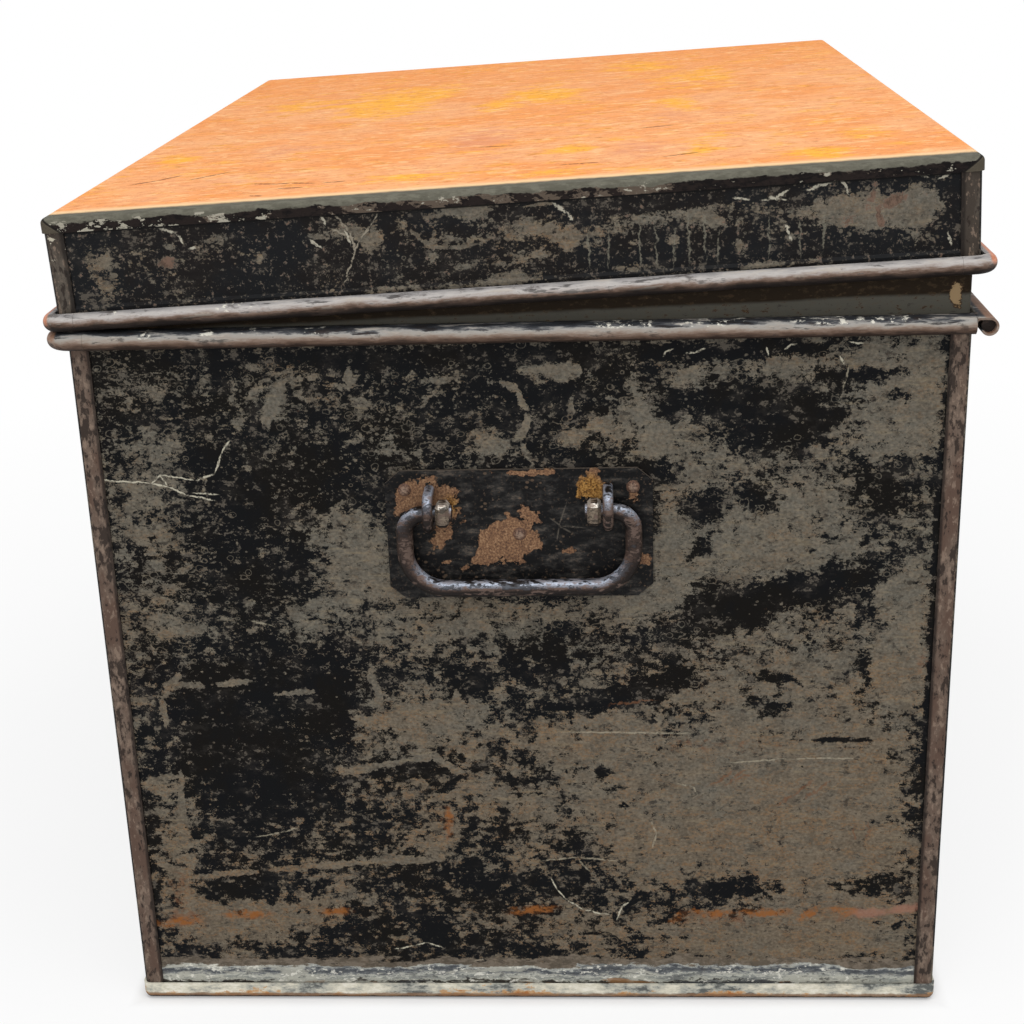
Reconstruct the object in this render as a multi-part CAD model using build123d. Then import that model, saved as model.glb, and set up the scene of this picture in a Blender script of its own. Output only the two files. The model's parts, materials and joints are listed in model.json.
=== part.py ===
from build123d import *
import math
import os

os.makedirs("parts", exist_ok=True)

# Main sizes. X runs along the box, the front looks to -Y, Z is up from the floor.
box_length = 550.0
box_depth = 400.0
rim_height = 353.0
lid_height = 50.0
ajar_angle = 2.52

# Sheet, folds and corners
sheet = 1.0
corner_radius = 3.0
body_wrap = 9.5
lid_wrap = 9.0
tray_height = 9.5
tray_bend = 4.0
cap_drop = 6.5
cap_bend = 2.5
neck_rise = 25.0
neck_seat = 20.0
lid_margin = 2.1
joint_gap = 0.1

# Wired rims
wire_radius = 3.0
wire_gap = 0.05
body_bead_reach = 5.1
ledge_bend = 1.0
rim_gap = 0.3
curl_sweep = 240.0
lid_curl_sweep = 300.0
tube_setback = 3.0
jog_rise = 5.0
jog_run = 1.4

# Hinges
hinge_spacing = 280.0
hinge_width = 50.0
hinge_notch = 54.0
hinge_reach = 7.1
pin_radius = 1.6
leaf_sheet = 1.4
leaf_drop = 36.0
leaf_rise = 41.0
slope_start = 11.0
slope_end = 4.2
knuckle_length = 16.0
knuckle_gap = 0.4
knuckle_clearance = 0.45
running_gap = 0.05
hinge_rivet_inset = 8.0
hinge_rivet_out = 17.0
pin_head_radius = 2.6
pin_head_length = 1.2

# Rivets
rivet_radius = 1.6
rivet_head_radius = 3.1
rivet_dome = 1.8
rivet_tail_radius = 2.4
rivet_tail_length = 1.0

# Handles
handle_drop = 86.5
handle_standoff = 7.5
plate_margin = 20.4
plate_height = 62.3
plate_sheet = 1.5
plate_sink = 13.1
plate_clip_across = 7.0
plate_clip_up = 6.0
inner_plate_inset = 5.0
inner_plate_trim = 4.5
staple_spacing = 81.2
staple_radius = 2.4
staple_arc = 7.6
staple_tail = 11.0
staple_bend = 2.6
staple_slack = 0.1
bail_radius = 3.8
bail_overhang = 11.5
bail_drop = 36.6
bail_top_bend = 9.0
bail_low_bend = 18.5
knob_size = 10.8
knob_length = 6.2
knob_chamfer = 1.6
knob_side = 0.8
knob_end = 1.0
plate_rivet_edge = 9.0

# Lock
lock_width = 70.0
lock_height = 50.0
lock_top_drop = 21.0
lock_plate_sheet = 1.4
lock_cap_sheet = 1.2
lock_cap_depth = 13.2
lock_flange = 7.0
lock_slot_gap = 0.9
lock_rivet_edge = 3.5
lock_rivet_up = 19.0
bolt_height = 7.0
bolt_thickness = 4.0
bolt_axis_drop = 6.0
bolt_tip = 12.0
bolt_length = 38.0
bolt_tail_height = 20.0
bolt_tail_length = 30.0
bolt_tail_thickness = 2.0
bolt_throw = 9.0
talon_radius = 5.0
guide_radius = 2.0
guide_place = -10.0
guide_drop = 17.0
slide_gap = 0.35
key_post_radius = 1.5
key_drop = 33.0
keyhole_radius = 3.6
keyhole_slot_width = 2.8
keyhole_slot_length = 10.0
spring_sheet = 0.6
spring_width = 6.0
spring_length = 14.0
spring_foot = 3.0
spring_drop = 4.0
escutcheon_width = 30.0
escutcheon_height = 46.0
escutcheon_sheet = 1.2
escutcheon_lift = 3.0
escutcheon_pin_radius = 0.9
escutcheon_pin_head = 1.9
escutcheon_pin_dome = 0.9
escutcheon_pin_up = 17.5

# Catch on the lid
catch_thickness = 3.0
catch_place = 16.0
catch_depth = 9.0
catch_front_gap = 2.2
catch_hole = 5.4
catch_hole_height = 9.6
catch_frame = 2.6
catch_plate_width = 46.0
catch_plate_height = 15.0
catch_sheet = 1.5
catch_shelf_width = 18.0
catch_over_neck = 3.5
catch_rivet_out = 16.0

# Derived places
half_length = box_length / 2
half_depth = box_depth / 2
end_face = half_length - sheet
end_inside = end_face - sheet
wall_inside = half_depth - sheet
bead_radius = wire_radius + sheet
rim_top = rim_height - rim_gap / 2
rim_bend_z = rim_top - ledge_bend - sheet
body_bead_z = rim_top - bead_radius
lid_bead_z = rim_height + rim_gap / 2 + bead_radius
lid_top_z = rim_height + lid_height
lid_half_length = half_length + lid_margin
lid_half_depth = half_depth + lid_margin
lid_end_face = lid_half_length - sheet
lid_wall_inside = lid_half_depth - sheet
lid_wall_top = lid_top_z - cap_bend
bead_line = half_depth + body_bead_reach
bead_edge = bead_line + bead_radius - half_depth
hinge_y = half_depth + hinge_reach
knuckle_radius = pin_radius + running_gap + leaf_sheet
hinge_places = [-hinge_spacing / 2, hinge_spacing / 2]
pivot_x = end_face + plate_sheet + handle_standoff
neck_top = rim_height + neck_rise
handle_height = rim_height - handle_drop
plate_middle = handle_height - plate_sink
plate_width = staple_spacing + 2 * plate_margin
inner_plate_width = plate_width - 2 * inner_plate_inset
inner_plate_height = plate_height - 2 * inner_plate_trim
plate_rivet_out = plate_width / 2 - plate_rivet_edge
plate_rivet_up = plate_height / 2 - plate_rivet_edge
bail_half_width = staple_spacing / 2 + bail_overhang


def save(part, name):
    """Write one piece to its own STEP file."""
    part.label = name
    export_step(part, os.path.join("parts", name + ".step"))


def fuse(shapes):
    """Fuse shapes that touch into one."""
    result = shapes[0]
    for shape in shapes[1:]:
        result = result + shape
    return result


def block(x_span, y_span, z_span):
    """Box between two values on each axis."""
    sizes = [span[1] - span[0] for span in (x_span, y_span, z_span)]
    middle = [(span[1] + span[0]) / 2 for span in (x_span, y_span, z_span)]
    return Pos(*middle) * Box(*sizes)


def section(edges, place, outward):
    """Face in the upright plane through place, u to the outward side, v up."""
    outward = Vector(*outward)
    plane = Plane(origin=place, x_dir=outward, z_dir=outward.cross(Vector(0, 0, 1)))
    return plane * make_face(edges)


def on_circle(radius, angle, middle):
    """Point at an angle on a circle."""
    turn = math.radians(angle)
    return (middle[0] + radius * math.cos(turn), middle[1] + radius * math.sin(turn))


def body_rim(base_z, reach):
    """Wall whose top turns outward and curls down round a wire."""
    top = rim_top
    middle = (reach, body_bead_z)
    bend = (ledge_bend, rim_bend_z)
    stop = 90 - curl_sweep
    lip_out = on_circle(bead_radius, stop, middle)
    lip_in = on_circle(wire_radius, stop, middle)
    return [
        Line((-sheet, base_z), (-sheet, rim_bend_z)),
        CenterArc(bend, ledge_bend + sheet, 180, -90),
        Line((ledge_bend, top), (reach, top)),
        CenterArc(middle, bead_radius, 90, -curl_sweep),
        Line(lip_out, lip_in),
        CenterArc(middle, wire_radius, stop, curl_sweep),
        Line((reach, top - sheet), (ledge_bend, top - sheet)),
        CenterArc(bend, ledge_bend, 90, 90),
        Line((0, rim_bend_z), (0, base_z)),
        Line((0, base_z), (-sheet, base_z)),
    ]


def lid_rim(top_z, jog):
    """Wall that goes down and curls up round a wire, with a step out where asked."""
    middle = (wire_radius + jog, lid_bead_z)
    stop = 180 + lid_curl_sweep
    lip_out = on_circle(bead_radius, stop, middle)
    lip_in = on_circle(wire_radius, stop, middle)
    low = lid_bead_z + jog_rise
    high = low + jog_run
    edges = [
        CenterArc(middle, bead_radius, 180, lid_curl_sweep),
        Line(lip_out, lip_in),
        CenterArc(middle, wire_radius, stop, -lid_curl_sweep),
        Line((0, top_z), (-sheet, top_z)),
    ]
    inner = [(-sheet, top_z), (-sheet, high), (jog - sheet, low), (jog - sheet, lid_bead_z)]
    outer = [(0, top_z), (0, high), (jog, low), (jog, lid_bead_z)]
    if jog == 0:
        inner = [inner[0], inner[-1]]
        outer = [outer[0], outer[-1]]
    for points in (inner, outer):
        for first, second in zip(points, points[1:]):
            edges.append(Line(first, second))
    return edges


def wall_only(base_z, top_z):
    """Plain wall section."""
    return [
        Line((-sheet, base_z), (-sheet, top_z)),
        Line((-sheet, top_z), (0, top_z)),
        Line((0, top_z), (0, base_z)),
        Line((0, base_z), (-sheet, base_z)),
    ]


def wrapped_back(edges, length, depth, wrap):
    """Back panel and the two strips that it folds round the corners of the ends."""
    inner_x = length - corner_radius
    inner_y = depth - corner_radius
    back = extrude(section(edges, (0, depth, 0), (0, 1, 0)), amount=inner_x, both=True)
    turn_face = section(edges, (-inner_x, depth, 0), (0, 1, 0))
    turn = revolve(turn_face, axis=Axis((-inner_x, inner_y, 0), (0, 0, 1)), revolution_arc=90)
    strip_face = section(edges, (-length, inner_y, 0), (-1, 0, 0))
    strip = extrude(strip_face, amount=corner_radius - wrap)
    side = turn + strip
    return fuse([back, side, mirror(side, about=Plane.YZ)])


def flanged_sheet(length, depth, low_z, high_z, bend):
    """Tray turned upside down: a flat sheet with its edge turned down all round."""
    def rounded(reach, top, fold):
        solid = block((-length - reach, length + reach), (-depth - reach, depth + reach), (low_z, top))
        solid = fillet(solid.edges().filter_by(Axis.Z), corner_radius + reach)
        return fillet(solid.faces().sort_by(Axis.Z)[-1].edges(), fold)
    return rounded(sheet, high_z, bend) - rounded(0, high_z - sheet, bend - sheet)


def bent_path(points, bends):
    """Lines through the points, each inner corner rounded by its own bend radius."""
    points = [Vector(*point) for point in points]
    edges = []
    start = points[0]
    for index, bend in enumerate(bends):
        corner = points[index + 1]
        back_way = (points[index] - corner).normalized()
        on_way = (points[index + 2] - corner).normalized()
        half = math.acos(max(-1, min(1, back_way.dot(on_way)))) / 2
        reach = bend / math.tan(half)
        first = corner + back_way * reach
        last = corner + on_way * reach
        middle_way = (back_way + on_way).normalized()
        middle = corner + middle_way * (bend / math.sin(half) - bend)
        if (first - start).length > joint_gap / 100:
            edges.append(Line(start, first))
        edges.append(ThreePointArc(first, middle, last))
        start = last
    edges.append(Line(start, points[-1]))
    return Wire(edges)


def rod(points, bends, radius):
    """Round wire bent along a path."""
    path = bent_path(points, bends)
    way = Vector(*points[1]) - Vector(*points[0])
    return sweep(Plane(origin=points[0], z_dir=way) * Circle(radius), path=path)


def bar(start, end, radius):
    """Straight round bar between two points."""
    way = Vector(*end) - Vector(*start)
    return extrude(Plane(origin=start, z_dir=way) * Circle(radius), amount=way.length)


def rivet(place, outward, grip, radius, head_radius, dome):
    """Domed rivet whose head sits at place and whose shank goes in by the grip."""
    start = Vector(*place)
    way = Vector(*outward)
    end = start - way * grip
    shank = bar(start, end, radius)
    tail = bar(end, end - way * rivet_tail_length, rivet_tail_radius)
    ball_radius = (head_radius * head_radius + dome * dome) / (dome + dome)
    ball = Pos(*(start + way * (dome - ball_radius))) * Sphere(ball_radius)
    head = bar(start, start + way * dome, head_radius) & ball
    return shank + tail + head


def group(shapes):
    """Separate solids of one kind in one node."""
    return Compound(children=shapes)


def open_lid(shape):
    """Turn a piece of the lid from closed to the ajar pose."""
    return shape.rotate(Axis((0, hinge_y, rim_height), (-1, 0, 0)), ajar_angle)


def other_end(shape):
    """The same piece at the other end of the box."""
    return mirror(shape, about=Plane.YZ)


# Body: back and front panels
wall_foot = tray_bend
back_panel = wrapped_back(body_rim(wall_foot, body_bead_reach), half_length, half_depth, body_wrap)
front_straight = half_length + bead_edge
front_rim = extrude(
    section(body_rim(wall_foot, body_bead_reach), (0, -half_depth, 0), (0, -1, 0)),
    amount=front_straight,
    both=True,
)
corner_x = half_length - corner_radius
for side in (-1, 1):
    span = sorted((side * corner_x, side * (front_straight + sheet)))
    front_rim = front_rim - block(span, (-half_depth, half_depth), (0, lid_top_z))
    front_rim = front_rim - block(span, (-lid_half_depth, 0), (0, rim_bend_z - bead_radius))
    outer_span = sorted((side * corner_x, side * (front_straight + sheet)))
    low_span = (-half_depth - ledge_bend, 0)
    front_rim = front_rim - block(outer_span, low_span, (0, rim_bend_z))
front_wrap = wrapped_back(
    wall_only(wall_foot, rim_bend_z - joint_gap), half_length, half_depth, body_wrap
).rotate(Axis.Z, 180)
front_panel = front_rim + front_wrap

notch_floor = body_bead_z - bead_radius - sheet
for place in hinge_places:
    span = (place - hinge_notch / 2, place + hinge_notch / 2)
    back_panel = back_panel - block(span, (half_depth, hinge_y + bead_edge), (notch_floor, lid_top_z))

# Body: end panels between the folds of the long sides
end_reach = body_bead_reach + sheet
back_stop = half_depth - body_wrap - joint_gap
front_stop = half_depth - joint_gap
end_half = half_depth - corner_radius


def end_run(edges, face_x, first_y, last_y):
    """Extrude an end section along Y at the left end."""
    face = section(edges, (-face_x, first_y, 0), (-1, 0, 0))
    return extrude(face, amount=last_y - first_y)


left_end = end_run(body_rim(wall_foot, end_reach), end_face, -front_stop, back_stop)
left_end = left_end + end_run(
    wall_only(wall_foot, rim_bend_z - joint_gap), end_face, back_stop, end_half
)
left_end = left_end - block((-end_face, -end_inside), (-half_depth, -end_half), (0, rim_bend_z))

# Body: bottom tray and neck
bottom = flanged_sheet(half_length, half_depth, -tray_height, 0, tray_bend)
bottom = bottom.rotate(Axis.X, 180)


def ring(length, depth, thickness, low_z, high_z, radius):
    """Upright band with rounded corners."""
    outer = block((-length, length), (-depth, depth), (low_z, high_z))
    outer = fillet(outer.edges().filter_by(Axis.Z), radius)
    inner = block((thickness - length, length - thickness), (thickness - depth, depth - thickness), (low_z, high_z))
    inner = fillet(inner.edges().filter_by(Axis.Z), radius - thickness)
    return outer - inner


neck = ring(end_inside, wall_inside, sheet, rim_height - neck_seat, neck_top, corner_radius - sheet + joint_gap)

# Wires in the body rims
thin_wire = wire_radius - wire_gap
bead_end_x = half_length + body_bead_reach
notch_out = hinge_spacing / 2 + hinge_notch / 2
notch_in = hinge_spacing / 2 - hinge_notch / 2
wire_left = rod(
    [
        (-bead_end_x, -front_stop, body_bead_z),
        (-bead_end_x, bead_line, body_bead_z),
        (-notch_out, bead_line, body_bead_z),
    ],
    [corner_radius + body_bead_reach],
    thin_wire,
)
wire_back = bar((-notch_in, bead_line, body_bead_z), (notch_in, bead_line, body_bead_z), thin_wire)
tube_end = front_straight - tube_setback
wire_front = bar((-tube_end, -bead_line, body_bead_z), (tube_end, -bead_line, body_bead_z), thin_wire)

# Lid: cap, wrapped long sides and ends
lid_cap = flanged_sheet(lid_half_length, lid_half_depth, lid_top_z - cap_drop, lid_top_z, cap_bend)
lid_back = wrapped_back(lid_rim(lid_wall_top, 0), lid_half_length, lid_half_depth, lid_wrap)
lid_front = lid_back.rotate(Axis.Z, 180)
for place in hinge_places:
    span = (place - hinge_notch / 2, place + hinge_notch / 2)
    top = lid_bead_z + bead_radius + sheet
    lid_back = lid_back - block(span, (lid_half_depth, hinge_y + bead_edge), (rim_height, top))
lid_stop = lid_half_depth - lid_wrap - joint_gap
lid_end_half = lid_half_depth - corner_radius
hidden_foot = lid_bead_z + jog_rise + jog_run
lid_left = end_run(lid_rim(lid_wall_top, sheet), lid_end_face, -lid_stop, lid_stop)
for start, stop in ((-lid_end_half, -lid_stop), (lid_stop, lid_end_half)):
    lid_left = lid_left + end_run(wall_only(hidden_foot, lid_wall_top), lid_end_face, start, stop)

lid_wire_x = lid_half_length + wire_radius
lid_wire_y = lid_half_depth + wire_radius
lid_turn = corner_radius + wire_radius
lid_wire = rod(
    [
        (-notch_out, lid_wire_y, lid_bead_z),
        (-lid_wire_x, lid_wire_y, lid_bead_z),
        (-lid_wire_x, -lid_wire_y, lid_bead_z),
        (lid_wire_x, -lid_wire_y, lid_bead_z),
        (lid_wire_x, lid_wire_y, lid_bead_z),
        (notch_out, lid_wire_y, lid_bead_z),
    ],
    [lid_turn, lid_turn, lid_turn, lid_turn],
    thin_wire,
)
lid_wire_back = bar((-notch_in, lid_wire_y, lid_bead_z), (notch_in, lid_wire_y, lid_bead_z), thin_wire)

# Hinges
pin_line = (hinge_reach, rim_height)
leaf_in = hinge_reach - knuckle_radius
leaf_out = leaf_in + leaf_sheet


def leaf_outline(root, end_z, way):
    """Flat on the wall, sloping out to the side of the knuckle."""
    start = rim_height + way * slope_start
    stop = rim_height + way * slope_end
    return [
        (root, end_z),
        (root + leaf_sheet, end_z),
        (root + leaf_sheet, start),
        (leaf_out, stop),
        (leaf_out, rim_height),
        (leaf_in, rim_height),
        (leaf_in, stop),
        (root, start),
    ]


def x_bar(radius, first_x, last_x):
    """Round bar on the hinge line."""
    return bar((first_x, hinge_y, rim_height), (last_x, hinge_y, rim_height), radius)


def knuckle_spans(place, outer):
    """The outer pair of knuckles of a hinge, or its middle one."""
    half = knuckle_length / 2
    edge = hinge_width / 2
    if outer:
        return [(place - edge, place - half - knuckle_gap), (place + half + knuckle_gap, place + edge)]
    return [(place - half, place + half)]


def leaf(place, root, end_z, way, outer):
    """Hinge leaf with its own knuckles and room for those of the other leaf."""
    points = leaf_outline(root, end_z, way)
    edges = [Line(first, second) for first, second in zip(points, points[1:] + points[:1])]
    face = section(edges, (place, half_depth, 0), (0, 1, 0))
    solid = extrude(face, amount=hinge_width / 2, both=True)
    for first, last in knuckle_spans(place, not outer):
        grow = knuckle_gap if first > place - hinge_width / 2 else sheet
        room = x_bar(knuckle_radius + knuckle_clearance, first - grow, last + grow)
        solid = solid - room
    for first, last in knuckle_spans(place, outer):
        solid = solid + x_bar(knuckle_radius, first, last)
    return solid - x_bar(pin_radius + running_gap, place - hinge_width, place + hinge_width)


def hinge_pin(place):
    """Pin with an upset head at each end."""
    half = hinge_width / 2 + running_gap
    shapes = [x_bar(pin_radius, place - half, place + half)]
    for side in (-1, 1):
        start = place + side * half
        shapes.append(x_bar(pin_head_radius, start, start + side * pin_head_length))
    return fuse(shapes)


body_leaf_foot = rim_height - leaf_drop
lid_leaf_top = rim_height + leaf_rise
body_leaf_rivet_z = body_leaf_foot + hinge_rivet_inset
lid_leaf_rivet_z = lid_leaf_top - hinge_rivet_inset
body_hinge_rivets = []
lid_hinge_rivets = []
body_leaves = []
lid_leaves = []
for place in hinge_places:
    low = leaf(place, 0, body_leaf_foot, -1, True)
    high = leaf(place, lid_margin, lid_leaf_top, 1, False)
    for side in (-1, 1):
        x = place + side * hinge_rivet_out
        low_place = (x, half_depth + leaf_sheet, body_leaf_rivet_z)
        high_place = (x, lid_half_depth + leaf_sheet, lid_leaf_rivet_z)
        for spot, shapes in ((low_place, body_hinge_rivets), (high_place, lid_hinge_rivets)):
            shapes.append(rivet(
                spot, (0, 1, 0), leaf_sheet + sheet, rivet_radius, rivet_head_radius, rivet_dome
            ))
        back = half_depth - rivet_head_radius
        low_hole = bar((x, back, body_leaf_rivet_z), (x, hinge_y, body_leaf_rivet_z), rivet_radius + wire_gap)
        high_hole = bar((x, back, lid_leaf_rivet_z), (x, hinge_y, lid_leaf_rivet_z), rivet_radius + wire_gap)
        low = low - low_hole
        back_panel = back_panel - low_hole
        high = high - high_hole
        lid_back = lid_back - high_hole
    body_leaves.append(low)
    lid_leaves.append(high)

# Handle at the left end
low_leg_z = handle_height - bail_radius - staple_slack - staple_radius
high_leg_z = low_leg_z + staple_arc + staple_arc
plate_face = end_face + plate_sheet
inner_face = end_inside - plate_sheet
staple_places = [-staple_spacing / 2, staple_spacing / 2]
rivet_places = [
    (-plate_rivet_out, plate_middle + plate_rivet_up),
    (plate_rivet_out, plate_middle + plate_rivet_up),
    (0, plate_middle),
]


def staple(y):
    """Wire loop through the plate, its legs turned over inside."""
    clench_x = -inner_face + staple_bend
    return rod(
        [
            (clench_x, y, low_leg_z - staple_tail),
            (clench_x, y, low_leg_z),
            (-pivot_x - staple_arc, y, low_leg_z),
            (-pivot_x - staple_arc, y, high_leg_z),
            (clench_x, y, high_leg_z),
            (clench_x, y, high_leg_z + staple_tail),
        ],
        [staple_bend, staple_arc - joint_gap, staple_arc - joint_gap, staple_bend],
        staple_radius,
    )


def handle_holes():
    """Holes for the staple legs and the rivets at the left end."""
    cuts = []
    inside = -inner_face + bail_radius
    outside = -plate_face - bail_radius
    for y in staple_places:
        for z in (low_leg_z, high_leg_z):
            cuts.append(bar((outside, y, z), (inside, y, z), staple_radius + wire_gap))
    for y, z in rivet_places:
        cuts.append(bar((outside, y, z), (inside, y, z), rivet_radius + wire_gap))
    return cuts


half_plate = plate_width / 2
half_rise = plate_height / 2
clipped = [
    (-half_plate + plate_clip_across, half_rise),
    (half_plate - plate_clip_across, half_rise),
    (half_plate, half_rise - plate_clip_up),
    (half_plate, -half_rise + plate_clip_up),
    (half_plate - plate_clip_across, -half_rise),
    (-half_plate + plate_clip_across, -half_rise),
    (-half_plate, -half_rise + plate_clip_up),
    (-half_plate, half_rise - plate_clip_up),
]
plate_edges = [Line(first, second) for first, second in zip(clipped, clipped[1:] + clipped[:1])]
plate_plane = Plane(origin=(-end_face, 0, plate_middle), x_dir=(0, -1, 0), z_dir=(-1, 0, 0))
handle_plate = extrude(plate_plane * make_face(plate_edges), amount=plate_sheet)
inner_plate = block(
    (-end_inside, -inner_face),
    (-inner_plate_width / 2, inner_plate_width / 2),
    (plate_middle - inner_plate_height / 2, plate_middle + inner_plate_height / 2),
)
for cut in handle_holes():
    handle_plate = handle_plate - cut
    inner_plate = inner_plate - cut
    left_end = left_end - cut
handle_rivets = []
for y, z in rivet_places:
    grip = plate_sheet + sheet + plate_sheet
    handle_rivets.append(rivet(
        (-plate_face, y, z), (-1, 0, 0), grip, rivet_radius, rivet_head_radius, rivet_dome
    ))
staples = [staple(y) for y in staple_places]

# Bail and its end knobs
knob_start = staple_spacing / 2 - staple_radius - knob_side
knob_stop = knob_start - knob_length
bar_z = handle_height - bail_drop
bail = rod(
    [
        (-pivot_x, knob_stop - knob_end, handle_height),
        (-pivot_x, bail_half_width, handle_height),
        (-pivot_x, bail_half_width, bar_z),
        (-pivot_x, -bail_half_width, bar_z),
        (-pivot_x, -bail_half_width, handle_height),
        (-pivot_x, knob_end - knob_stop, handle_height),
    ],
    [bail_top_bend, bail_low_bend, bail_low_bend, bail_top_bend],
    bail_radius,
)
knobs = []
for side in (-1, 1):
    span = sorted((side * knob_start, side * knob_stop))
    half = knob_size / 2
    solid = block(
        (-pivot_x - half, -pivot_x + half), span, (handle_height - half, handle_height + half)
    )
    solid = chamfer(solid.edges(), knob_chamfer)
    reach = knob_size + knob_size
    hole = bar(
        (-pivot_x, side * knob_stop - reach, handle_height),
        (-pivot_x, side * knob_stop + reach, handle_height),
        bail_radius,
    )
    knobs.append(solid - hole)

# Lock inside the front wall
lock_top = rim_height - lock_top_drop
lock_foot = lock_top - lock_height
lock_middle = lock_top - lock_height / 2
plate_back = -wall_inside + lock_plate_sheet
cap_face = plate_back + lock_cap_depth
cap_inside = cap_face - lock_cap_sheet
half_lock = lock_width / 2
half_cap = half_lock - lock_flange
bolt_z = lock_top - bolt_axis_drop
key_z = lock_top - key_drop
catch_front = -wall_inside + sheet + catch_front_gap
catch_back = catch_front + catch_depth
bolt_y = (catch_front + catch_back) / 2


def y_bar(x, z, radius, first_y, last_y):
    """Round bar along Y."""
    return bar((x, first_y, z), (x, last_y, z), radius)


def keyhole(first_y, last_y):
    """Keyhole cut: a round hole with a slot below it."""
    half = keyhole_slot_width / 2
    slot = block((-half, half), (first_y, last_y), (key_z - keyhole_slot_length, key_z))
    return y_bar(0, key_z, keyhole_radius, first_y, last_y) + slot


lock_plate = block((-half_lock, half_lock), (-wall_inside, plate_back), (lock_foot, lock_top))
cap_shell = block((-half_cap, half_cap), (plate_back, cap_face), (lock_foot, lock_top))
cap_room = block(
    (lock_cap_sheet - half_cap, half_cap - lock_cap_sheet),
    (plate_back, cap_inside),
    (lock_foot + lock_cap_sheet, lock_top - lock_cap_sheet),
)
cap_flanges = block(
    (-half_lock, half_lock), (plate_back, plate_back + lock_cap_sheet), (lock_foot, lock_top)
)
half_slot = catch_thickness / 2 + lock_slot_gap
catch_slot = block(
    (catch_place - half_slot, catch_place + half_slot),
    (plate_back, cap_inside),
    (lock_top - lock_cap_sheet, lock_top + lock_cap_sheet),
)
lock_cap = cap_shell + cap_flanges - cap_room - catch_slot

lock_rivets = []
lock_grip = sheet + lock_plate_sheet + lock_cap_sheet
for x in (lock_rivet_edge - half_lock, half_lock - lock_rivet_edge):
    for z in (lock_middle - lock_rivet_up, lock_middle + lock_rivet_up):
        lock_rivets.append(rivet(
            (x, -half_depth, z), (0, -1, 0), lock_grip, rivet_radius, rivet_head_radius, rivet_dome
        ))
        cut = y_bar(x, z, rivet_radius + wire_gap, -half_depth - sheet, cap_face)
        lock_plate = lock_plate - cut
        lock_cap = lock_cap - cut
        front_panel = front_panel - cut

guide_z = bolt_z - guide_drop
guide_post = y_bar(guide_place, guide_z, guide_radius, plate_back, cap_inside)
key_post = y_bar(0, key_z, key_post_radius, -wall_inside, cap_inside)
key_cut = keyhole(-half_depth - sheet, plate_back + sheet)
lock_plate = lock_plate - keyhole(-wall_inside - sheet, plate_back + joint_gap)
front_panel = front_panel - keyhole(-half_depth - sheet, -wall_inside + joint_gap)

# Bolt
bolt_bar = block(
    (bolt_tip - bolt_length, bolt_tip),
    (bolt_y - bolt_thickness / 2, bolt_y + bolt_thickness / 2),
    (bolt_z - bolt_height / 2, bolt_z + bolt_height / 2),
)
tail_top = bolt_z - bolt_height / 2
tail_start = bolt_tip - bolt_length
tail_back = bolt_y + bolt_tail_thickness / 2
tail = block(
    (tail_start, tail_start + bolt_tail_length),
    (bolt_y - bolt_tail_thickness / 2, tail_back),
    (tail_top - bolt_tail_height, tail_top),
)
slot_radius = guide_radius + slide_gap
guide_cut = fuse([
    y_bar(guide_place, guide_z, slot_radius, plate_back, cap_inside),
    y_bar(guide_place - bolt_throw, guide_z, slot_radius, plate_back, cap_inside),
    block(
        (guide_place - bolt_throw, guide_place),
        (plate_back, cap_inside),
        (guide_z - slot_radius, guide_z + slot_radius),
    ),
])
talon = y_bar(0, tail_top - bolt_tail_height, talon_radius, plate_back, cap_inside)
bolt = bolt_bar + tail - guide_cut - talon

spring_z = tail_top - spring_drop
spring_first = tail_start + spring_foot
bow_y = cap_inside - slide_gap
bow_points = [
    (tail_start, tail_back),
    (spring_first, tail_back),
    (spring_first + spring_length / 2, bow_y - spring_sheet),
    (spring_first + spring_length, tail_back + spring_sheet),
    (spring_first + spring_length, tail_back + spring_sheet + spring_sheet),
    (spring_first + spring_length / 2, bow_y),
    (spring_first, tail_back + spring_sheet),
    (tail_start, tail_back + spring_sheet),
]
bow_edges = [Line(first, second) for first, second in zip(bow_points, bow_points[1:] + bow_points[:1])]
bolt_spring = extrude(
    Plane(origin=(0, 0, spring_z - spring_width / 2)) * make_face(bow_edges), amount=spring_width
)

# Escutcheon on the outside of the front wall
plate_front = -half_depth - escutcheon_sheet
escutcheon_z = key_z - escutcheon_lift
oval_plane = Plane(origin=(0, -half_depth, escutcheon_z), x_dir=(1, 0, 0), z_dir=(0, -1, 0))
oval = Ellipse(escutcheon_width / 2, escutcheon_height / 2)
escutcheon = extrude(oval_plane * oval, amount=escutcheon_sheet)
escutcheon = escutcheon - keyhole(plate_front - sheet, -half_depth + joint_gap)
escutcheon_pins = []
for side in (-1, 1):
    z = escutcheon_z + side * escutcheon_pin_up
    grip = escutcheon_sheet + sheet + lock_plate_sheet
    shank = y_bar(0, z, escutcheon_pin_radius, plate_front, plate_back)
    head_plane = Plane(origin=(0, plate_front, z), z_dir=(0, -1, 0))
    head = extrude(head_plane * Circle(escutcheon_pin_head), amount=escutcheon_pin_dome)
    head = fillet(head.faces().sort_by(Axis.Y)[0].edges(), escutcheon_pin_dome / 2)
    escutcheon_pins.append(shank + head)
    cut = y_bar(0, z, escutcheon_pin_radius + wire_gap, plate_front - sheet, plate_back + joint_gap)
    escutcheon = escutcheon - cut
    front_panel = front_panel - cut
    lock_plate = lock_plate - cut

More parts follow.
